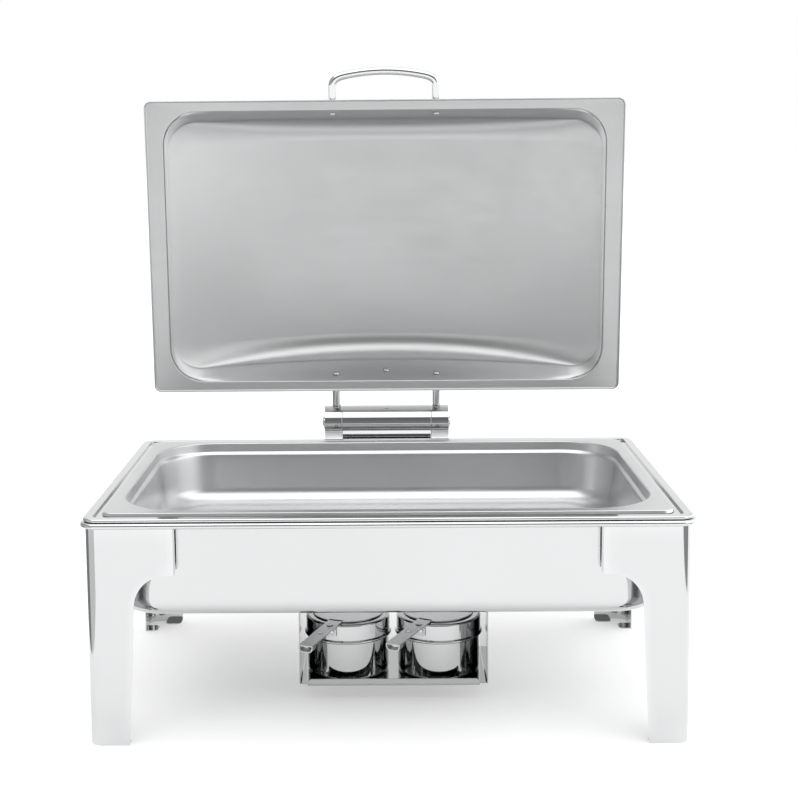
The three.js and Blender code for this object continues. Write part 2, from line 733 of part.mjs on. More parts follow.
function addLid(root) {
  const swing = new THREE.Group();
  swing.position.set(0, HINGE_Y, HINGE_Z);
  swing.rotation.x = -THREE.MathUtils.degToRad(OPEN_ANGLE);
  root.add(swing);
  const lid = new THREE.Group();
  lid.position.set(0, -HINGE_Y, -HINGE_Z);
  swing.add(lid);

  const rearHoles = HINGE_SCREWS.map(([, x, z]) => wallHole(x, z, 1));
  const frontHoles = [-1, 1].map((s) => wallHole(s * HANDLE_X, FIXING_Z, -1));
  add(lid, "lid_shell", cut(lidShell(), ...rearHoles, ...frontHoles), satin);
  add(lid, "lid_handle", lidHandle(), chrome);
  add(lid, "lid_hinge_plate", hingePlate(), plain);
  HINGE_SCREWS.forEach(([name, x, z]) => {
    add(lid, `hinge_plate_screw_${name}`, wallScrew(x, z, 1), plain);
  });
  SIDES.forEach(([name, s]) => {
    add(lid, `handle_screw_${name}`, wallScrew(s * HANDLE_X, FIXING_Z, -1), plain);
    add(lid, `hinge_rod_${name}`, hingeRod(s * ROD_X), chrome);
    add(lid, `hinge_collar_${name}`, hingeCollar(s), chrome);
    add(lid, `collar_set_screw_${name}`, setScrew(s), plain);
    add(lid, `hinge_cap_${name}`, hingeCap(s), chrome);
  });
  const axle = alongX(bar(AXLE_R, -COLLAR_END + GAP, COLLAR_END - GAP, 20));
  add(lid, "hinge_axle", axle.translate(0, HINGE_Y, HINGE_Z), plain);
}

// ---- Fixed half of the hinge ----
function hingeBarrel() {
  const tube = alongX(ringBar(BARREL_R, BORE_R, -BARREL_L / 2, BARREL_L / 2, ROUND_SIDES));
  const placed = tube.translate(0, HINGE_Y, HINGE_Z);
  const thread = () => hole(BOLT, HINGE_Z - BARREL_R - 2, HINGE_Z - BORE_R + 2);
  return cut(placed, ...[-1, 1].map((s) => thread().translate(s * BRACKET_SCREW_X, HINGE_Y, 0)));
}

function hingeBush(side) {
  const made = alongX(ringBar(BORE_R - GAP, AXLE_R + GAP, 0, BUSH_L));
  const x = side > 0 ? BARREL_L / 2 - BUSH_L : -BARREL_L / 2;
  return made.translate(x, HINGE_Y, HINGE_Z);
}

function hingeDamper() {
  const half = BARREL_L / 2 - BUSH_L - DAMPER_END_GAP;
  const made = alongX(ringBar(BORE_R - GAP, AXLE_R + GAP, -half, half));
  return made.translate(0, HINGE_Y, HINGE_Z);
}

// A folded bracket: under the ring's shelf, up behind the bead, and a saddle under the barrel.
function hingeBracket() {
  const across = [-BRACKET_HALF, BRACKET_HALF];
  const footTop = BRACKET_LOW + BRACKET_T;
  const foot = block(across, [BRACKET_FRONT, BRACKET_Y + BRACKET_T], [BRACKET_LOW, footTop]);
  const back = block(across, [BRACKET_Y, BRACKET_Y + BRACKET_T], [BRACKET_LOW, SADDLE_Z]);
  const saddle = block(across, [BRACKET_Y, HINGE_Y + 10], [SADDLE_Z - SADDLE_T, SADDLE_Z + 1]);
  const pads = [-1, 1].map((s) =>
    block(
      [s * BRACKET_SCREW_X - PAD_HALF, s * BRACKET_SCREW_X + PAD_HALF],
      [BRACKET_FRONT, BRACKET_FRONT + PAD_L],
      [BRACKET_LOW + 2, LEG_TOP],
    ),
  );
  const bed = alongX(bar(BARREL_R + GAP, -BRACKET_HALF - 5, BRACKET_HALF + 5, 2 * ROUND_SIDES));
  bed.translate(0, HINGE_Y, HINGE_Z);
  const holes = [-1, 1].flatMap((s) => [
    hole(BOLT, LEG_TOP - 12, LEG_TOP + 3).translate(s * BRACKET_SCREW_X, BRACKET_SCREW_Y, 0),
    hole(BOLT, SADDLE_Z - 12, SADDLE_Z + 5).translate(s * BRACKET_SCREW_X, HINGE_Y, 0),
  ]);
  return cut(join(foot, ...pads, back, saddle), bed, ...holes);
}

function addHingeBase(root) {
  add(root, "hinge_barrel", hingeBarrel(), chrome);
  add(root, "hinge_damper", hingeDamper(), black);
  add(root, "hinge_bracket", hingeBracket(), mirror);
  SIDES.forEach(([name, s]) => {
    add(root, `hinge_bush_${name}`, hingeBush(s), bronze);
    const x = s * BRACKET_SCREW_X;
    const low = add(root, `bracket_screw_${name}`, screw(BOLT, 6.6).rotateX(Math.PI), plain);
    low.position.set(x, BRACKET_SCREW_Y, BRACKET_LOW - GAP);
    const high = add(root, `barrel_screw_${name}`, screw(BOLT, 7.5).rotateX(Math.PI), plain);
    high.position.set(x, HINGE_Y, SADDLE_Z - SADDLE_T - GAP);
  });
}

// ---- Burner tray and rails ----
// One rail: a channel under the water pan that the tray's flange runs in.
function trayRail(side) {
  const inner = TRAY_W / 2 + RAIL_CLEAR;
  const outer = inner + TRAY_FLANGE + 1.4;
  const low = TRAY_TOP - TRAY_SHEET - GAP;
  const top = WATER_BOTTOM - GAP;
  const xs = (a, b) => (side > 0 ? [TRAY_X + a, TRAY_X + b] : [TRAY_X - b, TRAY_X - a]);
  const ys = [RAIL_FRONT, RAIL_FRONT + RAIL_L];
  const rail = join(
    block(xs(inner, outer), ys, [top - RAIL_SHEET, top]),
    block(xs(outer - RAIL_SHEET, outer), ys, [low - RAIL_SHEET, top]),
    block(xs(inner + 1, outer), ys, [low - RAIL_SHEET, low]),
  );
  return cut(rail, ...RAIL_RIVET_Y.map((y) => railRivetHole(side, y)));
}

function railRivetHole(side, y) {
  const made = hole(PAN_RIVET, WATER_BOTTOM - 3, WATER_BOTTOM + 4);
  return made.translate(TRAY_X + side * RAIL_RIVET_X, y, 0);
}

function burnerTray() {
  const t = TRAY_SHEET;
  const r = TRAY_CORNER;
  const half = TRAY_W / 2;
  const ys = [TRAY_FRONT, TRAY_FRONT + TRAY_L];
  const sidePlan = new THREE.Shape();
  sidePlan.moveTo(ys[0] + r, TRAY_Z);
  sidePlan.lineTo(ys[1], TRAY_Z);
  sidePlan.lineTo(ys[1], TRAY_TOP);
  sidePlan.lineTo(ys[0], TRAY_TOP);
  sidePlan.lineTo(ys[0], TRAY_Z + r);
  sidePlan.absarc(ys[0] + r, TRAY_Z + r, r, Math.PI, Math.PI * 1.5, false);
  const plates = [TRAY_X - half, TRAY_X + half - t].map((x) =>
    uprightYZ(extruded(sidePlan, t)).translate(x, 0, 0),
  );
  const floor = block([TRAY_X - half, TRAY_X + half], [ys[0] + r, ys[1]], [TRAY_Z, TRAY_Z + t]);
  const lw = TRAY_LIP_W / 2;
  const apron = block([TRAY_X - lw, TRAY_X + lw], [ys[0], ys[0] + r + 1], [TRAY_Z, TRAY_Z + t]);
  const lipTop = TRAY_LIP_H - TRAY_LIP_R;
  const lipShape = new THREE.Shape();
  lipShape.moveTo(-lw, 0);
  lipShape.lineTo(lw, 0);
  lipShape.absarc(lw - TRAY_LIP_R, lipTop, TRAY_LIP_R, 0, Math.PI / 2, false);
  lipShape.absarc(-lw + TRAY_LIP_R, lipTop, TRAY_LIP_R, Math.PI / 2, Math.PI, false);
  lipShape.closePath();
  const lip = uprightXZ(extruded(lipShape, t)).translate(TRAY_X, ys[0] + t, TRAY_Z);
  const flanges = [
    [TRAY_X - half - TRAY_FLANGE, TRAY_X - half + t],
    [TRAY_X + half - t, TRAY_X + half + TRAY_FLANGE],
  ].map((xs) => block(xs, ys, [TRAY_TOP - t, TRAY_TOP]));
  return join(floor, apron, lip, ...plates, ...flanges);
}

function addTray(root) {
  add(root, "burner_tray", burnerTray(), mirror);
  SIDES.forEach(([name, s]) => {
    add(root, `tray_rail_${name}`, trayRail(s), plain);
    RAIL_RIVET_Y.forEach((y, k) => {
      const end = k === 0 ? "front" : "rear";
      // The head is low inside the water pan; the shank goes down through the pan and the rail.
      const rivet = screw(PAN_RIVET, SHEET + 2 * GAP + RAIL_SHEET - 0.1);
      const made = add(root, `rail_rivet_${name}_${end}`, rivet, plain);
      made.position.set(TRAY_X + s * RAIL_RIVET_X, y, WATER_BOTTOM + SHEET + GAP);
    });
  });
}

// ---- Burners ----
function fuelCup() {
  const r = CUP_R;
  const t = CUP_SHEET;
  return turned(
    [
      [0, 0],
      [r - 4, 0],
      [r - 1, 1],
      [r, 4],
      [r, CUP_H],
      [r - t, CUP_H],
      [r - t, 4.2],
      [r - 4.5, t],
      [0, t],
    ],
    ROUND_SIDES,
  );
}

// The cover: a skirt with a bead at its foot, and a flat top with a round opening.
function fuelCover() {
  const r = COVER_R;
  const t = COVER_SHEET;
  const low = COVER_TOP - COVER_H;
  return turned(
    [
      [COVER_HOLE_R, COVER_TOP - t],
      [r - 2, COVER_TOP - t],
      [r - t, COVER_TOP - 2],
      [r - t, low],
      [r + 0.4, low],
      [COVER_BEAD_R, low + 0.6],
      [COVER_BEAD_R, low + 2.4],
      [r, low + 3.2],
      [r, COVER_TOP - 1.5],
      [r - 1.5, COVER_TOP],
      [COVER_HOLE_R + 1, COVER_TOP],
      [COVER_HOLE_R, COVER_TOP - t],
    ],
    ROUND_SIDES,
  );
}

// The strip's end is folded round into a flat loop, open at both ends: flat on top, rounded below.
function gripOutline(inset) {
  const half = STRIP_W / 2 - inset;
  const top = STRIP_T - inset;
  const bottom = STRIP_T - GRIP_H + inset;
  const r = GRIP_ROUND - inset;
  const outline = new THREE.Shape();
  outline.moveTo(half, top);
  outline.lineTo(-half, top);
  outline.absarc(-half + r, bottom + r, r, Math.PI, Math.PI * 1.5, false);
  outline.absarc(half - r, bottom + r, r, -Math.PI / 2, 0, false);
  outline.closePath();
  return outline;
}

// The regulator in its own frame: the rivet on the Z axis, the strip along -Y, the disc behind it at +Y.
function flameRegulator() {
  const reach = STRIP_REACH - PIVOT_R;
  const half = STRIP_W / 2;
  const disc = bar(DISC_R, 0, STRIP_T, ROUND_SIDES).translate(0, PIVOT_R, 0);
  const strip = block([-half, half], [-reach, PIVOT_R - DISC_R + 6], [0, STRIP_T]);
  const eye = bar(EYE_ROUND, -STRIP_T, 2 * STRIP_T).translate(0, PIVOT_R - EYE_R, 0);
  const loop = gripOutline(0);
  loop.holes.push(gripOutline(STRIP_T));
  const grip = extruded(loop, GRIP_L, 8).rotateX(Math.PI / 2).translate(0, GRIP_L - GRIP_LEAD - reach, 0);
  return cut(join(disc, strip, grip), eye, hole(PIVOT_RIVET, -3, 4));
}

// The bracket that carries the regulator: a tab on the skirt and an ear out under the strip.
function coverBracket() {
  const tabR = COVER_R + GAP;
  const across = [-TAB_HALF, TAB_HALF];
  const tab = block(across, [-tabR - SHEET, -tabR], [TAB_TOP - TAB_DROP, TAB_TOP]);
  const ear = block(across, [-PIVOT_R - 5, -tabR], [TAB_TOP - SHEET, TAB_TOP]);
  const earHole = hole(PIVOT_RIVET, TAB_TOP - 4, TAB_TOP + 4).translate(0, -PIVOT_R, 0);
  return cut(join(tab, ear), tabRivetHole(), earHole);
}

function tabRivetHole() {
  return alongY(hole(TAB_RIVET, -COVER_R - 6, -COVER_R + 6)).translate(0, 0, TAB_RIVET_Z);
}

function addBurner(root, name, s) {
  const burner = new THREE.Group();
  burner.position.set(TRAY_X + (s * BURNER_PITCH) / 2, BURNER_Y, 0);
  burner.rotation.z = -THREE.MathUtils.degToRad(STRIP_ANGLE[name]);
  root.add(burner);
  add(burner, `fuel_cup_${name}`, fuelCup(), chrome).position.z = CUP_Z;
  add(burner, `fuel_cover_${name}`, cut(fuelCover(), tabRivetHole()), chrome);
  add(burner, `cover_bracket_${name}`, coverBracket(), satin);
  const pin = screw(TAB_RIVET, SHEET + GAP + COVER_SHEET).rotateX(Math.PI / 2);
  const pinY = -COVER_R - SHEET - 2 * GAP;
  add(burner, `bracket_rivet_${name}`, pin, plain).position.set(0, pinY, TAB_RIVET_Z);
  const regulator = add(burner, `flame_regulator_${name}`, flameRegulator(), satin);
  regulator.position.set(0, -PIVOT_R, COVER_TOP + GAP);
  const rivet = add(burner, `regulator_rivet_${name}`, screw(PIVOT_RIVET, STRIP_T + SHEET + 2.2), plain);
  rivet.position.set(0, -PIVOT_R, COVER_TOP + STRIP_T + 2 * GAP);
}

// ---- The whole dish ----
function build() {
  const root = new THREE.Group();
  const rivetHoles = SIDES.flatMap(([, s]) => RAIL_RIVET_Y.map((y) => railRivetHole(s, y)));
  add(root, "water_pan", cut(waterPan(), ...rivetHoles), mirror);
  add(root, "food_pan", foodPan(), satin);
  addStand(root);
  addLid(root);
  addHingeBase(root);
  addTray(root);
  SIDES.forEach(([name, s]) => addBurner(root, name, s));

  root.updateMatrixWorld(true);
  const box = new THREE.Box3().setFromObject(root, true);
  const centre = box.getCenter(new THREE.Vector3());
  root.position.set(-centre.x, -centre.y, -box.min.z);
  return root;
}

const dish = build();
export default dish;
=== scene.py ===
"""The looks of a rectangular chafing dish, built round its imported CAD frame.

Pieces are made in millimetres in the frame's own axes and scaled to metres as they become objects.
The lid's pieces are made where they lie when the lid is shut, and then turned open about the hinge.
"""
import json
import math

import bpy
from mathutils import Matrix, Vector


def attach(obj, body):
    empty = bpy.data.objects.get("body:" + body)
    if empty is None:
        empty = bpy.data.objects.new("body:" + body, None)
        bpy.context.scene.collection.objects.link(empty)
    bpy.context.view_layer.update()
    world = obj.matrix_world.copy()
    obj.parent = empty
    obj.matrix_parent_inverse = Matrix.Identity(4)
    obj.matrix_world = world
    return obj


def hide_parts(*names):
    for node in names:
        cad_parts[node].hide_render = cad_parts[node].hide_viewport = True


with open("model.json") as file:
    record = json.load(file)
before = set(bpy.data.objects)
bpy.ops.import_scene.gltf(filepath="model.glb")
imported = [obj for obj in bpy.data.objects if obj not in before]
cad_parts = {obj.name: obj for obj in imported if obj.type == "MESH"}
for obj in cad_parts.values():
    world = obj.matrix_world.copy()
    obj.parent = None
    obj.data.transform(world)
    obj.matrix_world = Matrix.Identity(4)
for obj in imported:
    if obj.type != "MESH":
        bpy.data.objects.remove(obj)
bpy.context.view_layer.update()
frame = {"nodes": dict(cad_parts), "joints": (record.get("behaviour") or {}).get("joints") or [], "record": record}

MM = 0.001
NODES = frame["nodes"]
JOINTS = {joint["name"]: joint for joint in frame["joints"]}
BODY_OF = {
    node: body
    for body, nodes in frame["record"]["behaviour"]["bodies"].items()
    for node in nodes
}

SHEET = 1.2
CORNER_STEPS = 16
LATHE_STEPS = 96
SIDES = (("left", -1), ("right", 1))


# ---- Places read from the frame ----
def box_of(node, matrix=None):
    """Lowest and highest corner of a CAD node in millimetres, turned by matrix first."""
    points = [v.co / MM for v in NODES[node].data.vertices]
    if matrix is not None:
        points = [matrix @ p for p in points]
    low = Vector([min(p[i] for p in points) for i in range(3)])
    high = Vector([max(p[i] for p in points) for i in range(3)])
    return low, high


def middle_of(node, matrix=None):
    low, high = box_of(node, matrix)
    return (low + high) / 2


HINGE = Vector(JOINTS["lid_hinge"]["pos_m"]) / MM
OPEN_ANGLE = math.radians(max(JOINTS["lid_hinge"]["range_deg"]))
OPENED = (
    Matrix.Translation(HINGE)
    @ Matrix.Rotation(-OPEN_ANGLE, 4, "X")
    @ Matrix.Translation(-HINGE)
)
SHUT = OPENED.inverted()

PAN_LOW, PAN_HIGH = box_of("water_pan")
MID_Y = (PAN_LOW.y + PAN_HIGH.y) / 2
RIM_TOP = PAN_HIGH.z


# ---- Mesh parts: each is (points, faces) ----
def rounded_ring(half_x, half_y, radius, side_steps=1, corner_steps=CORNER_STEPS):
    """A rounded rectangle about the origin, anticlockwise, with the long sides cut into side_steps."""
    points = []
    for k, (sx, sy) in enumerate(((1, 1), (-1, 1), (-1, -1), (1, -1))):
        cx = sx * (half_x - radius)
        cy = sy * (half_y - radius)
        for i in range(corner_steps + 1):
            a = math.radians(90 * k + 90 * i / corner_steps)
            points.append((cx + radius * math.cos(a), cy + radius * math.sin(a)))
        steps = side_steps if k % 2 == 0 else 1
        x0, y0 = points[-1]
        points += [(x0 - 2 * cx * i / steps, y0) for i in range(1, steps)]
    return points


def loft(levels, closed=False, side_steps=1, strips=False):
    """Skins rounded rectangles (half_x, half_y, radius, z), where z may be a function of x.

    closed joins the last level to the first; otherwise both ends are capped, by strips across y if asked.
    """
    points = []
    for half_x, half_y, radius, z in levels:
        ring = rounded_ring(half_x, half_y, max(radius, 0.2), side_steps)
        points += [(x, y + MID_Y, z(x) if callable(z) else z) for x, y in ring]
    count = len(points) // len(levels)
    faces = []
    rows = len(levels) if closed else len(levels) - 1
    for r in range(rows):
        a = r * count
        b = ((r + 1) % len(levels)) * count
        for i in range(count):
            j = (i + 1) % count
            faces.append((a + i, a + j, b + j, b + i))
    if not closed:
        top = (len(levels) - 1) * count
        if strips:
            for i in range(count // 2 - 1):
                j, k, m = i + 1, count - 2 - i, count - 1 - i
                faces.append((j, i, m, k))
                faces.append((top + i, top + j, top + k, top + m))
        else:
            faces.append(tuple(reversed(range(count))))
            faces.append(tuple(range(top, top + count)))
    return points, faces


def lathe(profile, steps=LATHE_STEPS):
    """Turns (radius, z) points about Z. Points on the axis become one vertex."""
    points = []
    rows = []
    for radius, z in profile:
        if radius < 1e-9:
            rows.append([len(points)] * steps)
            points.append((0, 0, z))
        else:
            rows.append(list(range(len(points), len(points) + steps)))
            for i in range(steps):
                a = 2 * math.pi * i / steps
                points.append((radius * math.cos(a), radius * math.sin(a), z))
    faces = []
    for low, high in zip(rows, rows[1:]):
        for i in range(steps):
            j = (i + 1) % steps
            face = [low[i], low[j], high[j], high[i]]
            distinct = [v for n, v in enumerate(face) if v not in face[:n]]
            if len(distinct) > 2:
                faces.append(tuple(distinct))
    return points, faces


def prism(outline, low, high, axes="xyz"):
    """Extrudes an outline of two coordinates from low to high along the third; axes names the three."""
    place = {name: k for k, name in enumerate(axes)}
    points = []
    for depth in (low, high):
        for u, v in outline:
            made = (u, v, depth)
            points.append(tuple(made[place[name]] for name in "xyz"))
    n = len(outline)
    faces = [tuple(reversed(range(n))), tuple(range(n, 2 * n))]
    faces += [(i, (i + 1) % n, n + (i + 1) % n, n + i) for i in range(n)]
    return points, faces


def tube(path, radius, sides=32):
    """A round bar along a list of points, with flat ends."""
    path = [Vector(p) for p in path]
    points = []
    normal = None
    for i, p in enumerate(path):
        ahead = path[min(i + 1, len(path) - 1)] - path[max(i - 1, 0)]
        ahead.normalize()
        if normal is None:
            normal = ahead.orthogonal().normalized()
        normal = (normal - ahead * normal.dot(ahead)).normalized()
        across = ahead.cross(normal)
        for k in range(sides):
            a = 2 * math.pi * k / sides
            points.append(tuple(p + radius * (math.cos(a) * normal + math.sin(a) * across)))
    faces = []
    for i in range(len(path) - 1):
        for k in range(sides):
            a = i * sides + k
            b = i * sides + (k + 1) % sides
            faces.append((a, b, b + sides, a + sides))
    faces.append(tuple(reversed(range(sides))))
    faces.append(tuple(range(len(points) - sides, len(points))))
    return points, faces


def placed(part, *matrices):
    points, faces = part
    for matrix in matrices:
        points = [tuple(matrix @ Vector(p)) for p in points]
        if matrix.determinant() < 0:
            faces = [tuple(reversed(f)) for f in faces]
    return points, faces


def moved(part, x=0.0, y=0.0, z=0.0):
    return placed(part, Matrix.Translation((x, y, z)))


def turned(part, degrees, axis):
    return placed(part, Matrix.Rotation(math.radians(degrees), 4, axis))


def arc(cx, cz, radius, start, end, steps=6):
    """Points on a circle from one angle to another, in degrees."""
    angles = [math.radians(start + (end - start) * i / steps) for i in range(steps + 1)]
    return [(cx + radius * math.cos(a), cz + radius * math.sin(a)) for a in angles]


# ---- Objects ----
def outward(part):
    """The part with its faces turned to look out, judged by its signed volume."""
    points, faces = part
    corners = [Vector(p) for p in points]
    volume = 0.0
    for face in faces:
        a = corners[face[0]]
        for b, c in zip(face[1:], face[2:]):
            volume += a.dot(corners[b].cross(corners[c]))
    return (points, [tuple(reversed(face)) for face in faces]) if volume < 0 else part


def make(name, *parts, matrix=None, sharp=32):
    points = []
    faces = []
    for part_points, part_faces in map(outward, parts):
        start = len(points)
        points += part_points
        faces += [tuple(start + i for i in f) for f in part_faces]
    if matrix is not None:
        points = [matrix @ Vector(p) for p in points]
    if matrix is not None and matrix.determinant() < 0:
        faces = [tuple(reversed(face)) for face in faces]
    mesh = bpy.data.meshes.new(name)
    mesh.from_pydata([tuple(c * MM for c in p) for p in points], [], faces)
    mesh.validate()
    mesh.shade_smooth()
    mesh.set_sharp_from_angle(angle=math.radians(sharp))
    obj = bpy.data.objects.new(name, mesh)
    bpy.context.scene.collection.objects.link(obj)
    return obj


def cut(obj, *parts, matrix=None, operation="DIFFERENCE"):
    """Cuts parts out of an object, or joins them to it, and keeps the result as its mesh."""
    for k, part in enumerate(parts):
        tool = make(f"{obj.name}_tool_{k}", part, matrix=matrix)
        boolean = obj.modifiers.new("cut", "BOOLEAN")
        boolean.operation = operation
        boolean.solver = "EXACT"
        boolean.object = tool
        graph = bpy.context.evaluated_depsgraph_get()
        mesh = bpy.data.meshes.new_from_object(obj.evaluated_get(graph))
        obj.modifiers.remove(boolean)
        obj.data = mesh
        bpy.data.objects.remove(tool)
    obj.data.set_sharp_from_angle(angle=math.radians(32))
    return obj


def bevel(obj, width, segments=3, angle=35):
    """Rounds an object's edges by width millimetres."""
    made = obj.modifiers.new("rounding", "BEVEL")
    made.width = width * MM
    made.segments = segments
    made.limit_method = "ANGLE"
    made.angle_limit = math.radians(angle)
    return obj


def finish(obj, material):
    """Gives a piece its material, and keeps its large faces flat in the shading."""
    obj.data.materials.clear()
    obj.data.materials.append(material)
    weighted = obj.modifiers.new("flat_faces", "WEIGHTED_NORMAL")
    weighted.keep_sharp = True


def ride_with(obj, node, material):
    """Finishes a piece that moves with its CAD node."""
    finish(obj, material)
    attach(obj, BODY_OF[node])


def stand_for(obj, node, material):
    """Finishes a piece and puts it in the place of its CAD node."""
    ride_with(obj, node, material)
    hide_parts(node)


# ---- Materials ----
def new_material(name):
    material = bpy.data.materials.new(name)
    material.use_nodes = True
    tree = material.node_tree
    return material, tree, tree.nodes["Principled BSDF"]


def link_noise(tree, coords, scale, detail, stretch=(1, 1, 1)):
    """Noise in the object's own space, drawn out along the axes that stretch makes small."""
    mapping = tree.nodes.new("ShaderNodeMapping")
    mapping.inputs["Scale"].default_value = stretch
    tree.links.new(coords, mapping.inputs["Vector"])
    noise = tree.nodes.new("ShaderNodeTexNoise")
    noise.inputs["Scale"].default_value = scale
    noise.inputs["Detail"].default_value = detail
    tree.links.new(mapping.outputs["Vector"], noise.inputs["Vector"])
    return noise.outputs["Fac"]


def ramp(tree, value, low, high, from_min=0.3, from_max=0.7):
    """Maps a value between from_min and from_max to low..high."""
    node = tree.nodes.new("ShaderNodeMapRange")
    node.inputs["From Min"].default_value = from_min
    node.inputs["From Max"].default_value = from_max
    node.inputs["To Min"].default_value = low
    node.inputs["To Max"].default_value = high
    tree.links.new(value, node.inputs["Value"])
    return node.outputs["Result"]


def bumped(tree, height, strength, distance, normal=None):
    node = tree.nodes.new("ShaderNodeBump")
    node.inputs["Strength"].default_value = strength
    node.inputs["Distance"].default_value = distance
    tree.links.new(height, node.inputs["Height"])
    if normal is not None:
        tree.links.new(normal, node.inputs["Normal"])
    return node.outputs["Normal"]


def add_up(tree, a, b):
    node = tree.nodes.new("ShaderNodeMath")
    node.operation = "ADD"
    tree.links.new(a, node.inputs[0])
    tree.links.new(b, node.inputs[1])
    return node.outputs["Value"]


def steel(
    name,
    tone,
    rough,
    rough_spread,
    tone_spread,
    grain,
    grain_scale,
    grain_bump,
    wave_bump=0.0,
    tint=(0.985, 0.995, 1.0),
):
    """Steel with drifting tone, smudged roughness, fine grain along its rolling direction, bright edges.

    tone and rough are the middle values; the spreads say how far they drift.
    """
    material, tree, shader = new_material(name)
    shader.inputs["Metallic"].default_value = 1.0
    coords = tree.nodes.new("ShaderNodeTexCoord").outputs["Object"]

    smudge = link_noise(tree, coords, 9.0, 4.0)
    streak = link_noise(tree, coords, grain_scale, 2.0, grain)
    cloud = link_noise(tree, coords, 3.2, 2.0)

    rough_low = ramp(tree, smudge, rough - rough_spread, rough + rough_spread)
    rough_fine = ramp(tree, streak, -rough_spread * 0.6, rough_spread * 0.6)
    tree.links.new(add_up(tree, rough_low, rough_fine), shader.inputs["Roughness"])

    edges = tree.nodes.new("ShaderNodeNewGeometry").outputs["Pointiness"]
    worn = ramp(tree, edges, 0.0, 0.05, 0.52, 0.6)
    drift = ramp(tree, cloud, tone - tone_spread, tone + tone_spread)
    value = add_up(tree, drift, worn)
    colour = tree.nodes.new("ShaderNodeMix")
    colour.data_type = "RGBA"
    colour.blend_type = "MULTIPLY"
    colour.inputs["Factor"].default_value = 1.0
    colour.inputs[6].default_value = (*tint, 1)
    tree.links.new(value, colour.inputs[7])
    tree.links.new(colour.outputs[2], shader.inputs["Base Color"])

    normal = bumped(tree, streak, grain_bump, 0.0002)
    if wave_bump > 0:
        normal = bumped(tree, link_noise(tree, coords, 7.0, 1.0), wave_bump, 0.004, normal)
    tree.links.new(normal, shader.inputs["Normal"])
    return material


def moulded(name, colour, rough):
    """Black moulded plastic with a fine pitted skin."""
    material, tree, shader = new_material(name)
    shader.inputs["Base Color"].default_value = (*colour, 1)
    coords = tree.nodes.new("ShaderNodeTexCoord").outputs["Object"]
    pits = link_noise(tree, coords, 900.0, 3.0)
    tree.links.new(ramp(tree, pits, rough - 0.08, rough + 0.08), shader.inputs["Roughness"])
    tree.links.new(bumped(tree, pits, 0.2, 0.0003), shader.inputs["Normal"])
    return material


ALONG_X = (0.03, 1, 1)
ALONG_Y = (1, 0.1, 1)
ALONG_Z = (1, 1, 0.05)
EVEN = (1, 1, 1)
# Each steel: name, tone, roughness, the spreads of both (roughness first), grain, its scale, bumps.
# A steel's whole range of roughness stays on one side of 0.27; across it, noisy patches showed.
LOOKS = {
    "stand": steel("polished_sheet", 0.62, 0.08, 0.02, 0.012, ALONG_X, 300, 0.0, 0.02),
    "ring": steel("polished_ring", 0.62, 0.1, 0.03, 0.012, ALONG_X, 300, 0.01),
    "food_pan": steel("drawn_pan", 0.67, 0.33, 0.03, 0.02, ALONG_X, 220, 0.0, 0.03),
    "lid": steel("satin_lid", 0.53, 0.37, 0.03, 0.015, ALONG_X, 120, 0.0),
    "chrome": steel("bright_chrome", 0.66, 0.04, 0.015, 0.01, EVEN, 300, 0.01),
    "burner": steel("spun_steel", 0.51, 0.07, 0.03, 0.02, ALONG_Z, 300, 0.01, 0.02),
    "tray": steel("tray_sheet", 0.41, 0.1, 0.03, 0.02, ALONG_X, 300, 0.0, 0.02),
    "strip": steel("rolled_strip", 0.5, 0.33, 0.03, 0.03, ALONG_Y, 300, 0.0),
    # disc: the strip's steel with its tone raised, painted reflected light
    "disc": steel("disc_steel_painted_light", 0.66, 0.34, 0.035, 0.03, ALONG_Y, 300, 0.0),
    "plain": steel("mill_sheet", 0.48, 0.36, 0.05, 0.04, ALONG_X, 300, 0.02),
    "screw": steel("bright_zinc", 0.6, 0.18, 0.05, 0.05, EVEN, 600, 0.02),
    "bronze": steel("sintered_bronze", 0.5, 0.42, 0.08, 0.06, EVEN, 1200, 0.3, tint=(1.0, 0.74, 0.42)),
    "damper": moulded("moulded_black", (0.03, 0.03, 0.035), 0.5),
}


# ---- Pans ----
WATER_HALF = (262.0, 160.0, 50.0)
WATER_BOTTOM = PAN_LOW.z
WATER_FILLET = 18.0
RIM_HALF = (PAN_HIGH.x, (PAN_HIGH.y - PAN_LOW.y) / 2, 14.0)
RIM_EDGE_H = 3.4
GROOVE_INSET = PAN_HIGH.x - 270.8
GROOVE_W = 4.2
GROOVE_FLOOR = RIM_TOP - 2.3
LEDGE_Z = RIM_TOP - 2.0


def inset_level(half, inset, z):
    half_x, half_y, radius = half
    return half_x - inset, half_y - inset, radius - inset, z


def inset_levels(half, places):
    """Levels for the loft, one for each (inset, height) pair."""
    return [inset_level(half, inset, z) for inset, z in places]


def water_pan():
    under = RIM_TOP - RIM_EDGE_H
    f = WATER_FILLET
    outside = arc(f, WATER_BOTTOM + f, f, 270, 180, 10)
    inner = f - SHEET
    inside = arc(f, WATER_BOTTOM + f, inner, 180, 270, 10)
    rim = [
        *arc(1.4, under + 1.4, 1.4, 270, 180, 6),
        *arc(1.8, RIM_TOP - 1.8, 1.8, 180, 90, 8),
        *arc(GROOVE_INSET - 0.7, RIM_TOP - 0.7, 0.7, 90, 0, 5),
        *arc(GROOVE_INSET + 0.5, GROOVE_FLOOR + 0.5, 0.5, 180, 270, 4),
        (GROOVE_INSET + GROOVE_W - 0.3, GROOVE_FLOOR),
        (GROOVE_INSET + GROOVE_W, LEDGE_Z),
    ]
    levels = [
        *inset_levels(WATER_HALF, outside),
        inset_level(WATER_HALF, 0, under - 1),
        inset_level(WATER_HALF, -1, under),
        *inset_levels(RIM_HALF, rim),
        inset_level(WATER_HALF, SHEET, LEDGE_Z),
        *inset_levels(WATER_HALF, inside),
    ]
    obj = make("water_pan_steel", loft(levels))
    stand_for(obj, "water_pan", LOOKS["stand"])


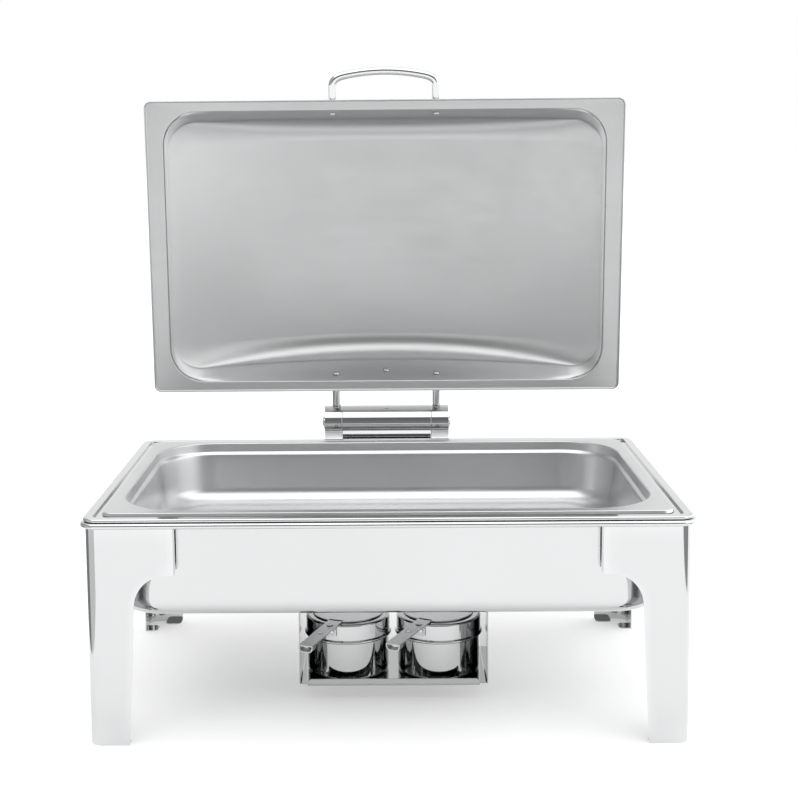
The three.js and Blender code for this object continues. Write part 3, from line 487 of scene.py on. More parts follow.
def food_pan():
    low, high = box_of("food_pan")
    flange = (high.x, (high.y - low.y) / 2, 12.0)
    mouth = (252.5, 150.0, 60.0)
    top = high.z
    floor = low.z + SHEET
    fillet = 18.0
    draft = 4.0
    below = 3.5  # inset of the wall just under the stacking shoulder
    inside = [
        *arc(-1.4, top - 1.4, 1.4, 90, 0, 6),
        (0.5, top - 8.8),
        (0.9, top - 9.8),
        (1.9, top - 11.0),
        (below - 0.5, top - 12.4),
        (below, top - 13.8),
        (below + 0.4, top - 18.0),
        *arc(below + draft + fillet, floor + fillet, fillet, 180, 270, 12),
    ]
    outside = [(inset - SHEET * 0.98, z - SHEET * 0.4) for inset, z in inside[7:-13]]
    outside += arc(below + draft + fillet, floor + fillet, fillet + SHEET, 180, 270, 12)
    under = top - SHEET
    lip = LEDGE_Z + 0.4
    lean = 0.9  # the flange's turned edge leans out towards its foot
    edge = [
        (SHEET + lean, under),
        (SHEET, lip),
        (0.0, lip),
        (0.0, lip + 0.2),
        *arc(lean + 0.7, top - 0.7, 0.7, 165, 90, 5),
    ]
    levels = [
        *inset_levels(mouth, reversed(outside)),
        inset_level(mouth, -SHEET, under),
        *inset_levels(flange, edge),
        *inset_levels(mouth, inside),
    ]
    obj = make("food_pan_steel", loft(levels))
    stand_for(obj, "food_pan", LOOKS["food_pan"])


def stand_ring():
    low, high = box_of("stand_ring")
    half = (high.x, (high.y - low.y) / 2, 16.5)
    top, bottom = high.z, low.z
    bead = (top - bottom) / 2
    shelf = 2.0
    profile = [
        (3.8, bottom + 0.3),
        *arc(bead, bottom + bead, bead, 250, 90, 14),
        (17.5, top),
        (17.5, top - shelf),
        (4.6, top - shelf),
    ]
    levels = inset_levels(half, profile)
    obj = make("stand_ring_steel", loft(levels, closed=True))
    stand_for(obj, "stand_ring", LOOKS["ring"])


# ---- Legs ----
LEG_TOP_W = 81.5
LEG_FOOT_W = 37.5
LEG_KNEE_W = 44.5
LEG_ARCH_TOP = 161.5
LEG_ARCH_R = 30.0
LEG_CORNER = 12.0
TAB_W = 18.0
TAB_L = 14.0
LEG_RETURN = 12.0


def leg_outline_rows(top):
    """(height, half developed width) pairs from the foot up to the arch's crown."""
    knee = LEG_ARCH_TOP - LEG_ARCH_R
    rows = [
        (knee * i / 6, LEG_FOOT_W + (LEG_KNEE_W - LEG_FOOT_W) * i / 6) for i in range(7)
    ]
    for i in range(1, 17):
        a = math.radians(90 * i / 16)
        rows.append((knee + LEG_ARCH_R * math.sin(a), LEG_KNEE_W + LEG_ARCH_R * (1 - math.cos(a))))
    return rows + [(LEG_ARCH_TOP + (top - LEG_ARCH_TOP) * i / 3, None) for i in (1, 2, 3)]


def bent_place(u, depth):
    """The plan point of a leg's sheet at a developed distance u from its corner, depth inside the face."""
    bend = LEG_CORNER * math.pi / 4
    if abs(u) <= bend:
        a = u / LEG_CORNER
        radius = LEG_CORNER - depth
        x = LEG_CORNER - radius * math.cos(math.pi / 4 + a)
        y = LEG_CORNER - radius * math.sin(math.pi / 4 + a)
        return x, y
    along = LEG_CORNER + abs(u) - bend
    return (along, depth) if u > 0 else (depth, along)


def leg_sheet(top):
    """The folded sheet as two skins with a closed rim, its corner at 0,0 and its plates along +x and +y."""
    bend = LEG_CORNER * math.pi / 4
    corner_u = [bend * (i / 8) for i in range(-8, 9)]
    shares = [i / 5 for i in range(1, 6)]
    flat_gain = LEG_CORNER - bend  # a plate's width counts from the corner, not along the bend
    rows = []
    for z, width in leg_outline_rows(top):
        edge = (LEG_KNEE_W + LEG_ARCH_R if width is None else width) - flat_gain
        side = [bend + (edge - bend) * s for s in shares]
        row = [-u for u in reversed(side)] + corner_u + side
        if width is None:
            outer = LEG_TOP_W - flat_gain
            row = [-outer] + row + [outer]
        rows.append((z, row))
    arch_row = next(i for i, (z, _) in enumerate(rows) if abs(z - LEG_ARCH_TOP) < 1e-6)
    outer = LEG_TOP_W - flat_gain
    rows[arch_row] = (rows[arch_row][0], [-outer] + rows[arch_row][1] + [outer])
    points = []
    index = []
    for depth in (0.0, SHEET):
        layer = []
        for z, row in rows:
            ids = []
            for u in row:
                ids.append(len(points))
                points.append((*bent_place(u, depth), z))
            layer.append(ids)
        index.append(layer)
    faces = []
    narrow = len(rows[0][1])
    for k, layer in enumerate(index):
        for r in range(len(rows) - 1):
            low, high = layer[r], layer[r + 1]
            if len(low) > narrow and len(high) > narrow:
                pairs = range(len(low) - 1)
                quads = [(low[i], low[i + 1], high[i + 1], high[i]) for i in pairs]
            else:
                shift = 1 if len(high) > narrow else 0
                quads = [
                    (low[i], low[i + 1], high[i + 1 + shift], high[i + shift])
                    for i in range(narrow - 1)
                ]
            faces += quads if k == 0 else [tuple(reversed(q)) for q in quads]
    boundary = rim_of(index[0], narrow)
    inner = rim_of(index[1], narrow)
    n = len(boundary)
    for i in range(n):
        j = (i + 1) % n
        faces.append((boundary[j], boundary[i], inner[i], inner[j]))
    return points, faces


def rim_of(layer, narrow):
    """The boundary of one skin of the leg, once round."""
    right = []
    left = []
    for ids in layer:
        wide = len(ids) > narrow
        previous_wide = right and len(layer[len(right) - 1]) > narrow
        right.append(ids[-1])
        left.append(ids[0])
        if wide and not previous_wide and len(right) > 1:
            right.insert(-1, ids[-2])
            left.insert(-1, ids[1])
    bottom = layer[0][1:-1]
    top = layer[-1][1:-1]
    return bottom + right + list(reversed(top)) + list(reversed(left))


def leg_flange(top):
    """The turned-in top flange that the bolts go through."""
    half = SHEET / 2
    outline = [(half, 12), (12, half), (42, half), (42, 19), (19, 19), (19, 42), (half, 42)]
    return prism(outline, top - SHEET, top - 0.02)


def foot_tab():
    """A foot tab turned in from a plate that lies along x, with rounded far corners."""
    near, far = LEG_FOOT_W - TAB_W, LEG_FOOT_W - 0.2
    r = 5.0
    outline = [
        (near, SHEET / 2),
        (far, SHEET / 2),
        *arc(far - r, TAB_L - r, r, 0, 90, 6),
        *arc(near + r, TAB_L - r, r, 90, 180, 6),
    ]
    return prism(outline, 0.02, SHEET)


def leg_return(top):
    """The free edge of the plate along x, turned in above the arch."""
    outline = [
        (LEG_TOP_W - SHEET, SHEET / 2),
        (LEG_TOP_W - 0.02, SHEET / 2),
        (LEG_TOP_W - 0.02, LEG_RETURN),
        (LEG_TOP_W - SHEET, LEG_RETURN),
    ]
    return prism(outline, LEG_ARCH_TOP + 0.02, top - 0.02)


def legs():
    swap = Matrix(((0, 1, 0, 0), (1, 0, 0, 0), (0, 0, 1, 0), (0, 0, 0, 1)))
    for end, sy in (("front", 1), ("rear", -1)):
        for side, sx in SIDES:
            node = f"leg_{end}_{side}"
            low, high = box_of(node)
            corner_x = low.x if sx < 0 else high.x
            corner_y = low.y if sy > 0 else high.y
            place = Matrix.Translation((corner_x, corner_y, 0)) @ Matrix.Diagonal((-sx, sy, 1, 1))
            folds = [foot_tab(), leg_return(high.z)]
            folds += [placed(fold, swap) for fold in folds]
            parts = [leg_sheet(high.z), leg_flange(high.z), *folds]
            obj = make(f"{node}_steel", *(placed(part, place) for part in parts), sharp=40)
            stand_for(obj, node, LOOKS["stand"])


# ---- Lid, shut ----
LID_MOUTH = (249.0, 155.5, 38.0)
LID_RISE = 79.85
LID_DRAFT = 0.23
LID_FILLET = 28.0
LID_CORNER = 8.0
ARCH_STEPS = 64


def arch_height(x, half_span):
    radius = (half_span**2 + LID_RISE**2) / (2 * LID_RISE)
    inside = max(radius**2 - min(abs(x), half_span) ** 2, 0)
    return math.sqrt(inside) - (radius - LID_RISE)


def dome_levels(shift, base):
    """One face of the dome from the flange up to its crown."""
    wall_top = 1 - LID_FILLET / LID_RISE
    wall_inset = LID_DRAFT * (LID_RISE - LID_FILLET)
    steps = [(wall_inset * i / 6, wall_top * i / 6) for i in range(7)]
    for i in range(1, 15):
        a = math.radians(90 * i / 14)
        steps.append(
            (wall_inset + LID_FILLET * (1 - math.cos(a)), wall_top + (1 - wall_top) * math.sin(a))
        )
    levels = []
    half_x, half_y, radius = LID_MOUTH
    for inset, part in steps:
        hx = half_x + shift

        def height(x, part=part, hx=hx):
            return base + part * arch_height(x, hx)

        corner = max(radius + shift - inset * 0.5, 4)
        levels.append((hx - inset * 0.35, half_y + shift - inset, corner, height))
    return levels


def lid_shell():
    low, high = box_of("lid_shell", SHUT)
    half = (high.x, (high.y - low.y) / 2, LID_CORNER)
    lip = low.z
    flange = lip + 2.6
    top = flange + SHEET
    soft = 1.6  # rounding where the dome leaves the flange
    inside = dome_levels(0, flange)[1:]
    mouth = [
        inset_level(LID_MOUTH, -shift, flange + soft - rise)
        for shift, rise in arc(soft, 0, soft, 180, 90, 4)
    ]
    edge = [
        *arc(SHEET + 2.0, flange - 2.0, 2.0, 90, 180, 4),
        (SHEET, lip + 0.5),
        *arc(0.6, lip + 0.6, 0.6, 0, -180, 6),
        *arc(2.2, top - 2.2, 2.2, 180, 90, 7),
    ]
    levels = [
        *reversed(inside),
        *mouth,
        *inset_levels(half, edge),
        *dome_levels(SHEET, top),
    ]
    obj = make("lid_dome", loft(levels, side_steps=ARCH_STEPS, strips=True), matrix=OPENED)
    stand_for(obj, "lid_shell", LOOKS["lid"])


def bezier(a, b, c, d, steps):
    made = []
    for i in range(1, steps + 1):
        t = i / steps
        s = 1 - t
        made.append(s**3 * a + 3 * s * s * t * b + 3 * s * t * t * c + t**3 * d)
    return made


def lid_handle():
    low, high = box_of("lid_handle", SHUT)
    radius = (high.z - low.z) / 2
    x = high.x - radius
    z = (low.z + high.z) / 2
    bar_y = low.y + radius
    bow, shoulder = 4.6, 14.0
    shoulder_x = x - shoulder
    leg_y = bar_y + bow + shoulder * 0.8
    slope = 2 * bow / shoulder_x
    pull = shoulder / 2

    def corner(s):
        return [
            Vector((s * x, leg_y, z)),
            Vector((s * x, leg_y - pull, z)),
            Vector((s * (shoulder_x + pull), bar_y + bow + pull * slope, z)),
            Vector((s * shoulder_x, bar_y + bow, z)),
        ]

    left = corner(-1)
    right = list(reversed(corner(1)))
    path = [Vector((-x, high.y, z)), left[0]]
    path += bezier(*left, 14)
    middle = Vector((0, bar_y - bow, z))
    path += bezier(left[3], left[3].lerp(middle, 2 / 3), right[0].lerp(middle, 2 / 3), right[0], 24)
    path += bezier(*right, 14)
    path.append(Vector((x, high.y, z)))
    obj = make("lid_handle_bow", tube(path, radius), matrix=OPENED)
    stand_for(obj, "lid_handle", LOOKS["chrome"])


# ---- Hinge ----
BARREL_R = 19.7
BARREL_BORE = 14.0
INSERT_R = 13.7
INSERT_BORE = 5.3
AXLE_R = 5.0


def ring_profile(outer, inner, half, rounding):
    """The closed profile of a round sleeve about Z with rounded rims."""
    r = rounding
    return [
        (inner, -half),
        *arc(outer - r, -half + r, r, 270, 360, 4),
        *arc(outer - r, half - r, r, 0, 90, 4),
        (inner, half),
        (inner, -half),
    ]


def along_x(part):
    return turned(part, 90, "Y")


def on_hinge(part, x=0.0):
    return moved(part, x, HINGE.y, HINGE.z)


def hinge():
    half = box_of("hinge_barrel")[1].x
    barrel = along_x(lathe(ring_profile(BARREL_R, BARREL_BORE, half, 0.5)))
    stand_for(make("hinge_barrel_tube", on_hinge(barrel)), "hinge_barrel", LOOKS["chrome"])
    for side, s in SIDES:
        collar(side)
        cap(side, s)
        rod(side)
        bush(side)
    half = box_of("hinge_damper")[1].x
    housing = along_x(lathe(ring_profile(INSERT_R, INSERT_BORE, half, 0.8), 48))
    stand_for(make("hinge_damper_housing", on_hinge(housing)), "hinge_damper", LOOKS["damper"])
    half = box_of("hinge_axle")[1].x
    start = [(0, -half), (AXLE_R - 0.6, -half), (AXLE_R, -half + 0.6), (AXLE_R, 0)]
    end = [(radius, -x) for radius, x in reversed(start)]
    shaft = [on_hinge(along_x(lathe(profile, 48))) for profile in (start, end)]
    stand_for(make("hinge_axle_shaft", *shaft), "hinge_axle", LOOKS["screw"])


def bush(side):
    node = f"hinge_bush_{side}"
    low, high = box_of(node)
    sleeve = along_x(lathe(ring_profile(INSERT_R, INSERT_BORE, (high.x - low.x) / 2, 0.3), 48))
    stand_for(make(f"{node}_sleeve", on_hinge(sleeve, middle_of(node).x)), node, LOOKS["bronze"])


def collar(side):
    """The sleeve at a barrel's end, bored for the lid's rod and for the set screw that holds the rod."""
    node = f"hinge_collar_{side}"
    low, high = box_of(node)
    rod_low, rod_high = box_of(f"hinge_rod_{side}", SHUT)
    middle = (rod_low + rod_high) / 2
    sleeve = along_x(lathe(ring_profile(BARREL_R, INSERT_BORE, (high.x - low.x) / 2, 0.5)))
    obj = make(f"{node}_sleeve", on_hinge(sleeve, middle_of(node).x))
    hole = (rod_high.z - rod_low.z) / 2 + 0.25
    mouth = hole + 0.95
    bore = [(0, 0), (hole, 0), (hole, 8), (mouth, 9), (mouth, 20), (0, 20)]
    bore = moved(turned(lathe(bore, 48), 90, "X"), middle.x, HINGE.y - BARREL_R + 9.5, middle.z)
    screw_hole = [(0, 0), (1.9, 0), (1.9, 9), (2.3, 9.6), (2.3, 14), (0, 14)]
    screw_hole = turned(lathe(screw_hole, 32), 180, "X")
    screw_hole = moved(screw_hole, middle.x, HINGE.y, HINGE.z - BARREL_R + 9.4)
    cut(obj, bore, screw_hole, matrix=OPENED)
    stand_for(obj, node, LOOKS["chrome"])
    set_screw(f"collar_set_screw_{side}", middle.x)


def set_screw(node, x):
    low, high = box_of(node, SHUT)
    length = high.z - low.z
    body = [(0, 1.2), (0.8, 1.2), (0.8, 0), (1.2, 0), (1.6, 0.4), (1.6, length), (0, length)]
    obj = make(f"{node}_body", moved(lathe(body, 32), x, HINGE.y, low.z), matrix=OPENED)
    stand_for(obj, node, LOOKS["screw"])


def cap(side, s):
    node = f"hinge_cap_{side}"
    low, high = box_of(node)
    height = high.x - low.x
    radius = (high.z - low.z) / 2
    rim = height * 0.25
    dome = [(0, 0), (radius, 0), (radius, rim)]
    for a in map(math.radians, range(15, 90, 15)):
        dome.append((radius * math.cos(a), rim + (height - rim) * math.sin(a)))
    dome.append((0, height))
    face = low.x if s > 0 else high.x
    obj = make(f"{node}_dome", on_hinge(turned(lathe(dome, 64), 90 * s, "Y"), face))
    stand_for(obj, node, LOOKS["chrome"])


def rod(side):
    node = f"hinge_rod_{side}"
    low, high = box_of(node, SHUT)
    middle = (low + high) / 2
    count = 8
    path = [(middle.x, low.y + (high.y - low.y) * i / count, middle.z) for i in range(count + 1)]
    obj = make(f"{node}_bar", tube(path, (high.z - low.z) / 2, 48), matrix=OPENED)
    stand_for(obj, node, LOOKS["chrome"])


def hinge_bracket():
    node = "hinge_bracket"
    low, high = box_of(node)
    thick = 3.0
    saddle_z = HINGE.z - BARREL_R + 2
    back = PAN_HIGH.y + 3.2
    bed = BARREL_R + 0.35
    drop = saddle_z + 1 - HINGE.z

    def on_bed(y):
        return HINGE.z - math.sqrt(max(bed**2 - (y - HINGE.y) ** 2, 0))

    reach = math.sqrt(bed**2 - drop**2)
    front_y, rear_y = HINGE.y - reach, min(HINGE.y + reach, high.y)
    arc_points = [front_y + (rear_y - front_y) * i / 16 for i in range(17)]
    outline = [
        (low.y, low.z),
        (back + thick, low.z),
        (back + thick, saddle_z - 5),
        (high.y, saddle_z - 5),
        (high.y, saddle_z + 1),
        *((y, on_bed(y)) for y in reversed(arc_points)),
        (back, saddle_z + 1),
        (back, low.z + thick),
        (low.y, low.z + thick),
    ]
    folded = prism(outline, low.x, high.x, "yzx")
    pads = []
    pad_half, pad_depth = 9, 10
    pad_top = box_of("leg_front_left")[1].z
    for x in (-34, 34):
        x0, x1, y1 = x - pad_half, x + pad_half, low.y + pad_depth
        pads.append(prism([(x0, low.y), (x1, low.y), (x1, y1), (x0, y1)], low.z + 2, pad_top))
    obj = bevel(make("hinge_bracket_fold", folded, *pads), 0.6)
    stand_for(obj, node, LOOKS["ring"])


def hinge_plate():
    node = "lid_hinge_plate"
    slope = math.atan(LID_DRAFT)
    low, high = box_of(node, SHUT)
    centre = (low + high) / 2
    half_h = (high.z - low.z) / 2 / math.cos(slope) - 0.2
    outline = rounded_ring(high.x, half_h, 5.0, corner_steps=6)
    plate = placed(prism(outline, -1, 1, "xzy"), Matrix.Rotation(slope, 4, "X"))
    obj = make("lid_hinge_plate_sheet", moved(plate, 0, centre.y, centre.z), matrix=OPENED)
    stand_for(bevel(obj, 0.4), node, LOOKS["plain"])


# ---- Screws and rivets: head radius, head height, shank radius, hex socket ----
SOCKET_SCREW = (4, 2.6, 1.9, True)
LID_SCREW = (4, 2.2, 2, False)
RAIL_RIVET = (3.2, 1.4, 1.4, False)


def domed_head(head_r, head_h, shank_r, shank_l, recess):
    """A pan head on the Z axis with its underside at 0, a shank below, and a hex socket if asked."""
    r = min(head_h * 0.6, head_r * 0.5)
    profile = [
        (0, -shank_l),
        (shank_r - 0.3, -shank_l),
        (shank_r, -shank_l + 0.3),
        (shank_r, 0),
        (head_r - 0.2, 0),
        (head_r, 0.2),
        (head_r, head_h - r),
        *arc(head_r - r, head_h - r, r, 0, 75, 5),
    ]
    if recess:
        profile += [(head_r * 0.42, head_h), (head_r * 0.36, head_h - 0.3), (head_r * 0.36, head_h * 0.45)]
        profile.append((0, head_h * 0.4))
    else:
        profile.append((0, head_h))
    return lathe(profile, 40)


def fastener(node, turn, kind, on_lid=False):
    """A screw or rivet with its CAD node's length and place, turned about X by turn degrees."""
    head_r, head_h, shank_r, recess = kind
    direction = Matrix.Rotation(math.radians(turn), 3, "X") @ Vector((0, 0, 1))
    points = [v.co / MM for v in NODES[node].data.vertices]
    if on_lid:
        points = [SHUT @ p for p in points]
    along = [p.dot(direction) for p in points]
    shank_l = max(along) - min(along) - head_h
    centre = sum(points, Vector()) / len(points)
    seat = centre + direction * (max(along) - head_h - centre.dot(direction))
    head = turned(domed_head(head_r, head_h, shank_r, shank_l, recess), turn, "X")
    obj = make(f"{node}_fastener", moved(head, *seat), matrix=OPENED if on_lid else None)
    stand_for(obj, node, LOOKS["screw"])


def screws():
    slope = math.degrees(math.atan(LID_DRAFT))
    for end in ("front", "rear"):
        for side, _ in SIDES:
            for where in ("inner", "outer"):
                fastener(f"leg_bolt_{end}_{side}_{where}", 180, SOCKET_SCREW)
    for side, _ in SIDES:
        fastener(f"bracket_screw_{side}", 180, SOCKET_SCREW)
        fastener(f"barrel_screw_{side}", 180, SOCKET_SCREW)
        for end in ("front", "rear"):
            fastener(f"rail_rivet_{side}_{end}", 0, RAIL_RIVET)
        fastener(f"handle_screw_{side}", 90 + 180 - slope, LID_SCREW, on_lid=True)
    for side in ("left", "centre", "right"):
        fastener(f"hinge_plate_screw_{side}", 90 + slope, LID_SCREW, on_lid=True)


# ---- Burner tray and rails ----
TRAY_LIP_W = 171.0


def burner_tray():
    low, high = box_of("burner_tray")
    t = 1.0
    flange = 8.0
    corner = 6.0
    bend = 2.0
    left, right = low.x + flange, high.x - flange
    bottom, top = low.z, high.z

    centre = (left + right) / 2

    def mirrored(points):
        return [(2 * centre - x, z) for x, z in reversed(points)]

    outer = [
        (low.x, top - t),
        (left - bend + 0.4, top - t),
        *arc(left - bend + t, top - bend, bend - t, 80, 0, 5),
        *arc(left + bend, bottom + bend, bend, 180, 270, 6),
    ]
    inner = [
        *arc(left + bend, bottom + bend, bend - t, 270, 180, 6),
        *arc(left - bend + t, top - bend, bend, 0, 90, 5),
        (low.x, top),
    ]
    whole = outer + mirrored(outer) + mirrored(inner) + inner
    body = prism(whole, low.y + corner, high.y, "xzy")
    flanges = [
        prism([(a, top - t), (b, top - t), (b, top), (a, top)], low.y, low.y + corner + 1, "xzy")
        for a, b in ((low.x, left + t), (right - t, high.x))
    ]
    sides = []
    for x in (left, right - t):
        outline = [
            (low.y + corner + 1, bottom),
            (low.y + corner + 1, top),
            (low.y, top),
            *arc(low.y + corner, bottom + corner, corner, 180, 270, 8),
        ]
        sides.append(prism(outline, x, x + t, "yzx"))
    lip_half = TRAY_LIP_W / 2
    lip_h = 7.5
    lip_r = 5.0
    turn = 2.0
    apron_end = low.y + corner + 2
    section = [
        (apron_end, bottom),
        *arc(low.y + turn, bottom + turn, turn, 270, 180, 5),
        (low.y, bottom + lip_h - lip_r),
        (low.y + t, bottom + lip_h - lip_r),
        *arc(low.y + turn, bottom + turn, turn - t, 180, 270, 5),
        (apron_end, bottom + t),
    ]
    apron = prism(section, centre - lip_half, centre + lip_half, "yzx")
    lip_outline = [
        (-lip_half, bottom + lip_h - lip_r),
        (lip_half, bottom + lip_h - lip_r),
        *arc(lip_half - lip_r, bottom + lip_h - lip_r, lip_r, 0, 90, 8),
        *arc(-lip_half + lip_r, bottom + lip_h - lip_r, lip_r, 90, 180, 8),
    ]
    lip = prism([(centre + x, z) for x, z in lip_outline], low.y, low.y + t, "xzy")
    obj = make("burner_tray_sheet", body, *flanges, *sides, apron, lip)
    stand_for(bevel(obj, 0.18, 2), "burner_tray", LOOKS["tray"])


def tray_rails():
    for side, s in SIDES:
        low, high = box_of(f"tray_rail_{side}")
        t = SHEET
        width = high.x - low.x
        outline = [
            (0, high.z - t),
            (width - t - 1, high.z - t),
            (width - t, high.z - t - 1),
            (width - t, low.z + t + 0.6),
            (width - t - 0.6, low.z + t),
            (1, low.z + t),
            (1, low.z),
            (width - 1, low.z),
            (width, low.z + 1),
            (width, high.z - 1),
            (width - 1, high.z),
            (0, high.z),
        ]
        start = low.x if s > 0 else high.x
        place = Matrix.Translation((start, 0, 0)) @ Matrix.Diagonal((s, 1, 1, 1))
        part = placed(prism(outline, low.y, high.y, "xzy"), place)
        obj = bevel(make(f"tray_rail_{side}_channel", part), 0.25, 2)
        stand_for(obj, f"tray_rail_{side}", LOOKS["plain"])


# ---- Burners ----
def fuel_cup(side):
    node = f"fuel_cup_{side}"
    low, high = box_of(node)
    centre = (low + high) / 2
    r = (high.x - low.x) / 2
    height = high.z - low.z
    t = 1.0
    foot = 3.4
    profile = [
        (0, 0.6),
        (r - 9, 0.6),
        (r - 7, 0),
        *arc(r - foot, foot, foot, 270, 360, 8),
        (r, height - 1.2),
        *arc(r - t / 2, height - t / 2, t / 2, 0, 180, 6),
        (r - t, height - 1.2),
        *arc(r - foot, foot, foot - t, 360, 270, 6),
        (0, t + 0.6),
    ]
    obj = make(f"{node}_shell", moved(lathe(profile, 128), centre.x, centre.y, low.z))
    stand_for(obj, node, LOOKS["burner"])


def fuel_cover(side):
    node = f"fuel_cover_{side}"
    low, high = box_of(node)
    centre = (low + high) / 2
    bead_r = (high.x - low.x) / 2
    r = bead_r - 1.6
    hole_r = 32.0
    t = 0.9
    height = high.z - low.z
    bead = 1.5
    profile = [
        (r - t, 0.2),
        (r + 0.1, 0.0),
        *arc(bead_r - bead, bead, bead, 300, 420, 8),
        (r, 2 * bead + 0.6),
        (r, height - 2.4),
        *arc(r - 2.4, height - 2.4, 2.4, 0, 90, 8),
        (hole_r + 0.5, height),
        *arc(hole_r + 0.45, height - 0.45, 0.45, 90, 270, 5),
        (r - 2.4, height - t),
        *arc(r - 2.4, height - 2.4, 2.4 - t, 90, 0, 6),
        (r - t, 0.2),
    ]
    obj = make(f"{node}_shell", moved(lathe(profile, 128), centre.x, centre.y, low.z))
    stand_for(obj, node, LOOKS["burner"])


def burner_turn(side):
    """From a burner's own frame (middle at the origin, strip along -Y) to its place in the tray."""
    centre = middle_of(f"fuel_cup_{side}")
    pivot = Vector(JOINTS[f"regulator_{side}_swing"]["pos_m"]) / MM
    back = Vector((centre.x - pivot.x, centre.y - pivot.y))
    turn = math.atan2(back.x, back.y)
    return Matrix.Translation((centre.x, centre.y, 0)) @ Matrix.Rotation(-turn, 4, "Z"), back.length


STRIP_W = 14.5
STRIP_REACH = 108.0
STRIP_T = 1.2
DISC_R = 35.5
GRIP_H = 7.2
GRIP_L = 9.0
GRIP_LEAD = 3.2
GRIP_ROUND = 4.6
EYE_Y = -74.5
EYE_ROUND = 3.2


def grip_outline(half, top, inset):
    """The flat loop at a strip's end: flat on top, rounded below."""
    half -= inset
    r = GRIP_ROUND - inset
    bottom = top - GRIP_H + inset
    return [
        (half, top - inset),
        (-half, top - inset),
        *arc(-half + r, bottom + r, r, 180, 270, 10),
        *arc(half - r, bottom + r, r, 270, 360, 10),
    ]


def regulator(side):
    node = f"flame_regulator_{side}"
    place, _ = burner_turn(side)
    top = box_of(node)[1].z
    t = STRIP_T
    disc = [
        (0, top - t),
        (DISC_R - 0.3, top - t),
        (DISC_R, top - t + 0.3),
        (DISC_R, top - 0.3),
        (DISC_R - 0.3, top),
        (0, top),
    ]
    half = STRIP_W / 2
    mouth = -STRIP_REACH - GRIP_LEAD
    start, end = mouth + GRIP_L, 4 - DISC_R
    strip = prism([(-half, start), (half, start), (half, end), (-half, end)], top - t, top)
    eye = arc(0, EYE_Y, EYE_ROUND, 0, 345, 23)
    obj = cut(make(f"{node}_strip", strip), prism(eye, top - 2 * t, top + t))
    loop = prism(grip_outline(half, top, 0), mouth, start, "xzy")
    hollow = prism(grip_outline(half, top, t), mouth - 1, start + 1, "xzy")
    grip = cut(make(f"{node}_grip", loop), hollow)
    for piece in (obj, grip):
        piece.data.transform(Matrix.Translation(place.translation * MM) @ place.to_3x3().to_4x4())
    stand_for(bevel(obj, 0.22, 2), node, LOOKS["strip"])
    ride_with(bevel(grip, 0.22, 2), node, LOOKS["strip"])
    # The disc takes the strip's steel painted lighter, a painted reflection.
    ride_with(make(f"{node}_disc", lathe(disc, 128), matrix=place), node, LOOKS["disc"])


BRACKET_R = 43.3


def cover_bracket(side):
    node = f"cover_bracket_{side}"
    place, pivot_r = burner_turn(side)
    low, high = box_of(node)
    top, bottom = high.z, low.z
    t = SHEET
    half = 4.5
    tab_r = BRACKET_R
    ear_r = pivot_r + 5
    bend = 1.4
    outline = [
        (-tab_r, bottom),
        (-tab_r, top),
        (-ear_r, top),
        (-ear_r, top - t),
        (-tab_r - t - bend, top - t),
        (-tab_r - t, top - t - bend),
        (-tab_r - t, bottom),
    ]
    obj = make(f"{node}_angle", prism(outline, -half, half, "yzx"), matrix=place)
    stand_for(bevel(obj, 0.25, 2), node, LOOKS["strip"])


def burner_rivets(side):
    place, pivot_r = burner_turn(side)
    low, high = box_of(f"regulator_rivet_{side}")
    head = domed_head(3.4, 0.5, 1.8, high.z - low.z - 1.0, False)
    obj = make(f"regulator_rivet_{side}_pin", moved(head, 0, -pivot_r, high.z - 1.0), matrix=place)
    stand_for(obj, f"regulator_rivet_{side}", LOOKS["strip"])
    low, high = box_of(f"bracket_rivet_{side}")
    z = (low.z + high.z) / 2
    head = turned(domed_head(2.4, 0.8, 1.35, 2.3, False), 90, "X")
    obj = make(f"bracket_rivet_{side}_pin", moved(head, 0, -43 - SHEET - 0.6, z), matrix=place)
    stand_for(obj, f"bracket_rivet_{side}", LOOKS["screw"])


def burners():
    for side, _ in SIDES:
        fuel_cup(side)
        fuel_cover(side)
        regulator(side)
        cover_bracket(side)
        burner_rivets(side)


# ---- Stage, light and camera, in metres ----
FLOOR_HALF = 40.0
FLOOR_TONE = 0.74
FLOOR_GLOW = 0.34
LIGHT_STRENGTH = 2.1
# Cards beside the dish: name, centre, size along Y and Z, brightness.
CARDS = (
    ("card_front_right", (0.74, -0.55, 0.08), (0.7, 0.16), 0.34),
    ("card_front_left", (-0.52, -0.4, 0.1), (0.4, 0.2), 0.8),
    ("card_rear_left", (-0.52, 0.2, 0.1), (0.8, 0.2), 0.26),
)
LENS = 64.835
SHIFT_X = 0.0353
SHIFT_Y = -0.11808
CAMERA_PLACE = (-0.00102, -1.4986, 0.55208)
YAW = 0.566
PITCH = 6.393
ROLL = 0.489


def stage_sheet(name, points, tone, glow):
    """A flat matt sheet of the stage that also gives off a little light of its own."""
    mesh = bpy.data.meshes.new(name)
    mesh.from_pydata(points, [], [(0, 1, 2, 3)])
    obj = bpy.data.objects.new(name, mesh)
    bpy.context.scene.collection.objects.link(obj)
    material, _, shader = new_material(name)
    shader.inputs["Base Color"].default_value = (tone, tone, tone, 1)
    shader.inputs["Roughness"].default_value = 0.9
    shader.inputs["Specular IOR Level"].default_value = 0.0
    shader.inputs["Emission Color"].default_value = (1, 1, 1, 1)
    shader.inputs["Emission Strength"].default_value = glow
    mesh.materials.append(material)
    return obj


def square(half_u, half_v):
    return [(a * half_u, b * half_v) for a, b in ((-1, -1), (1, -1), (1, 1), (-1, 1))]


def floor():
    stage_sheet("floor", [(x, y, 0) for x, y in square(FLOOR_HALF, FLOOR_HALF)], FLOOR_TONE, FLOOR_GLOW)


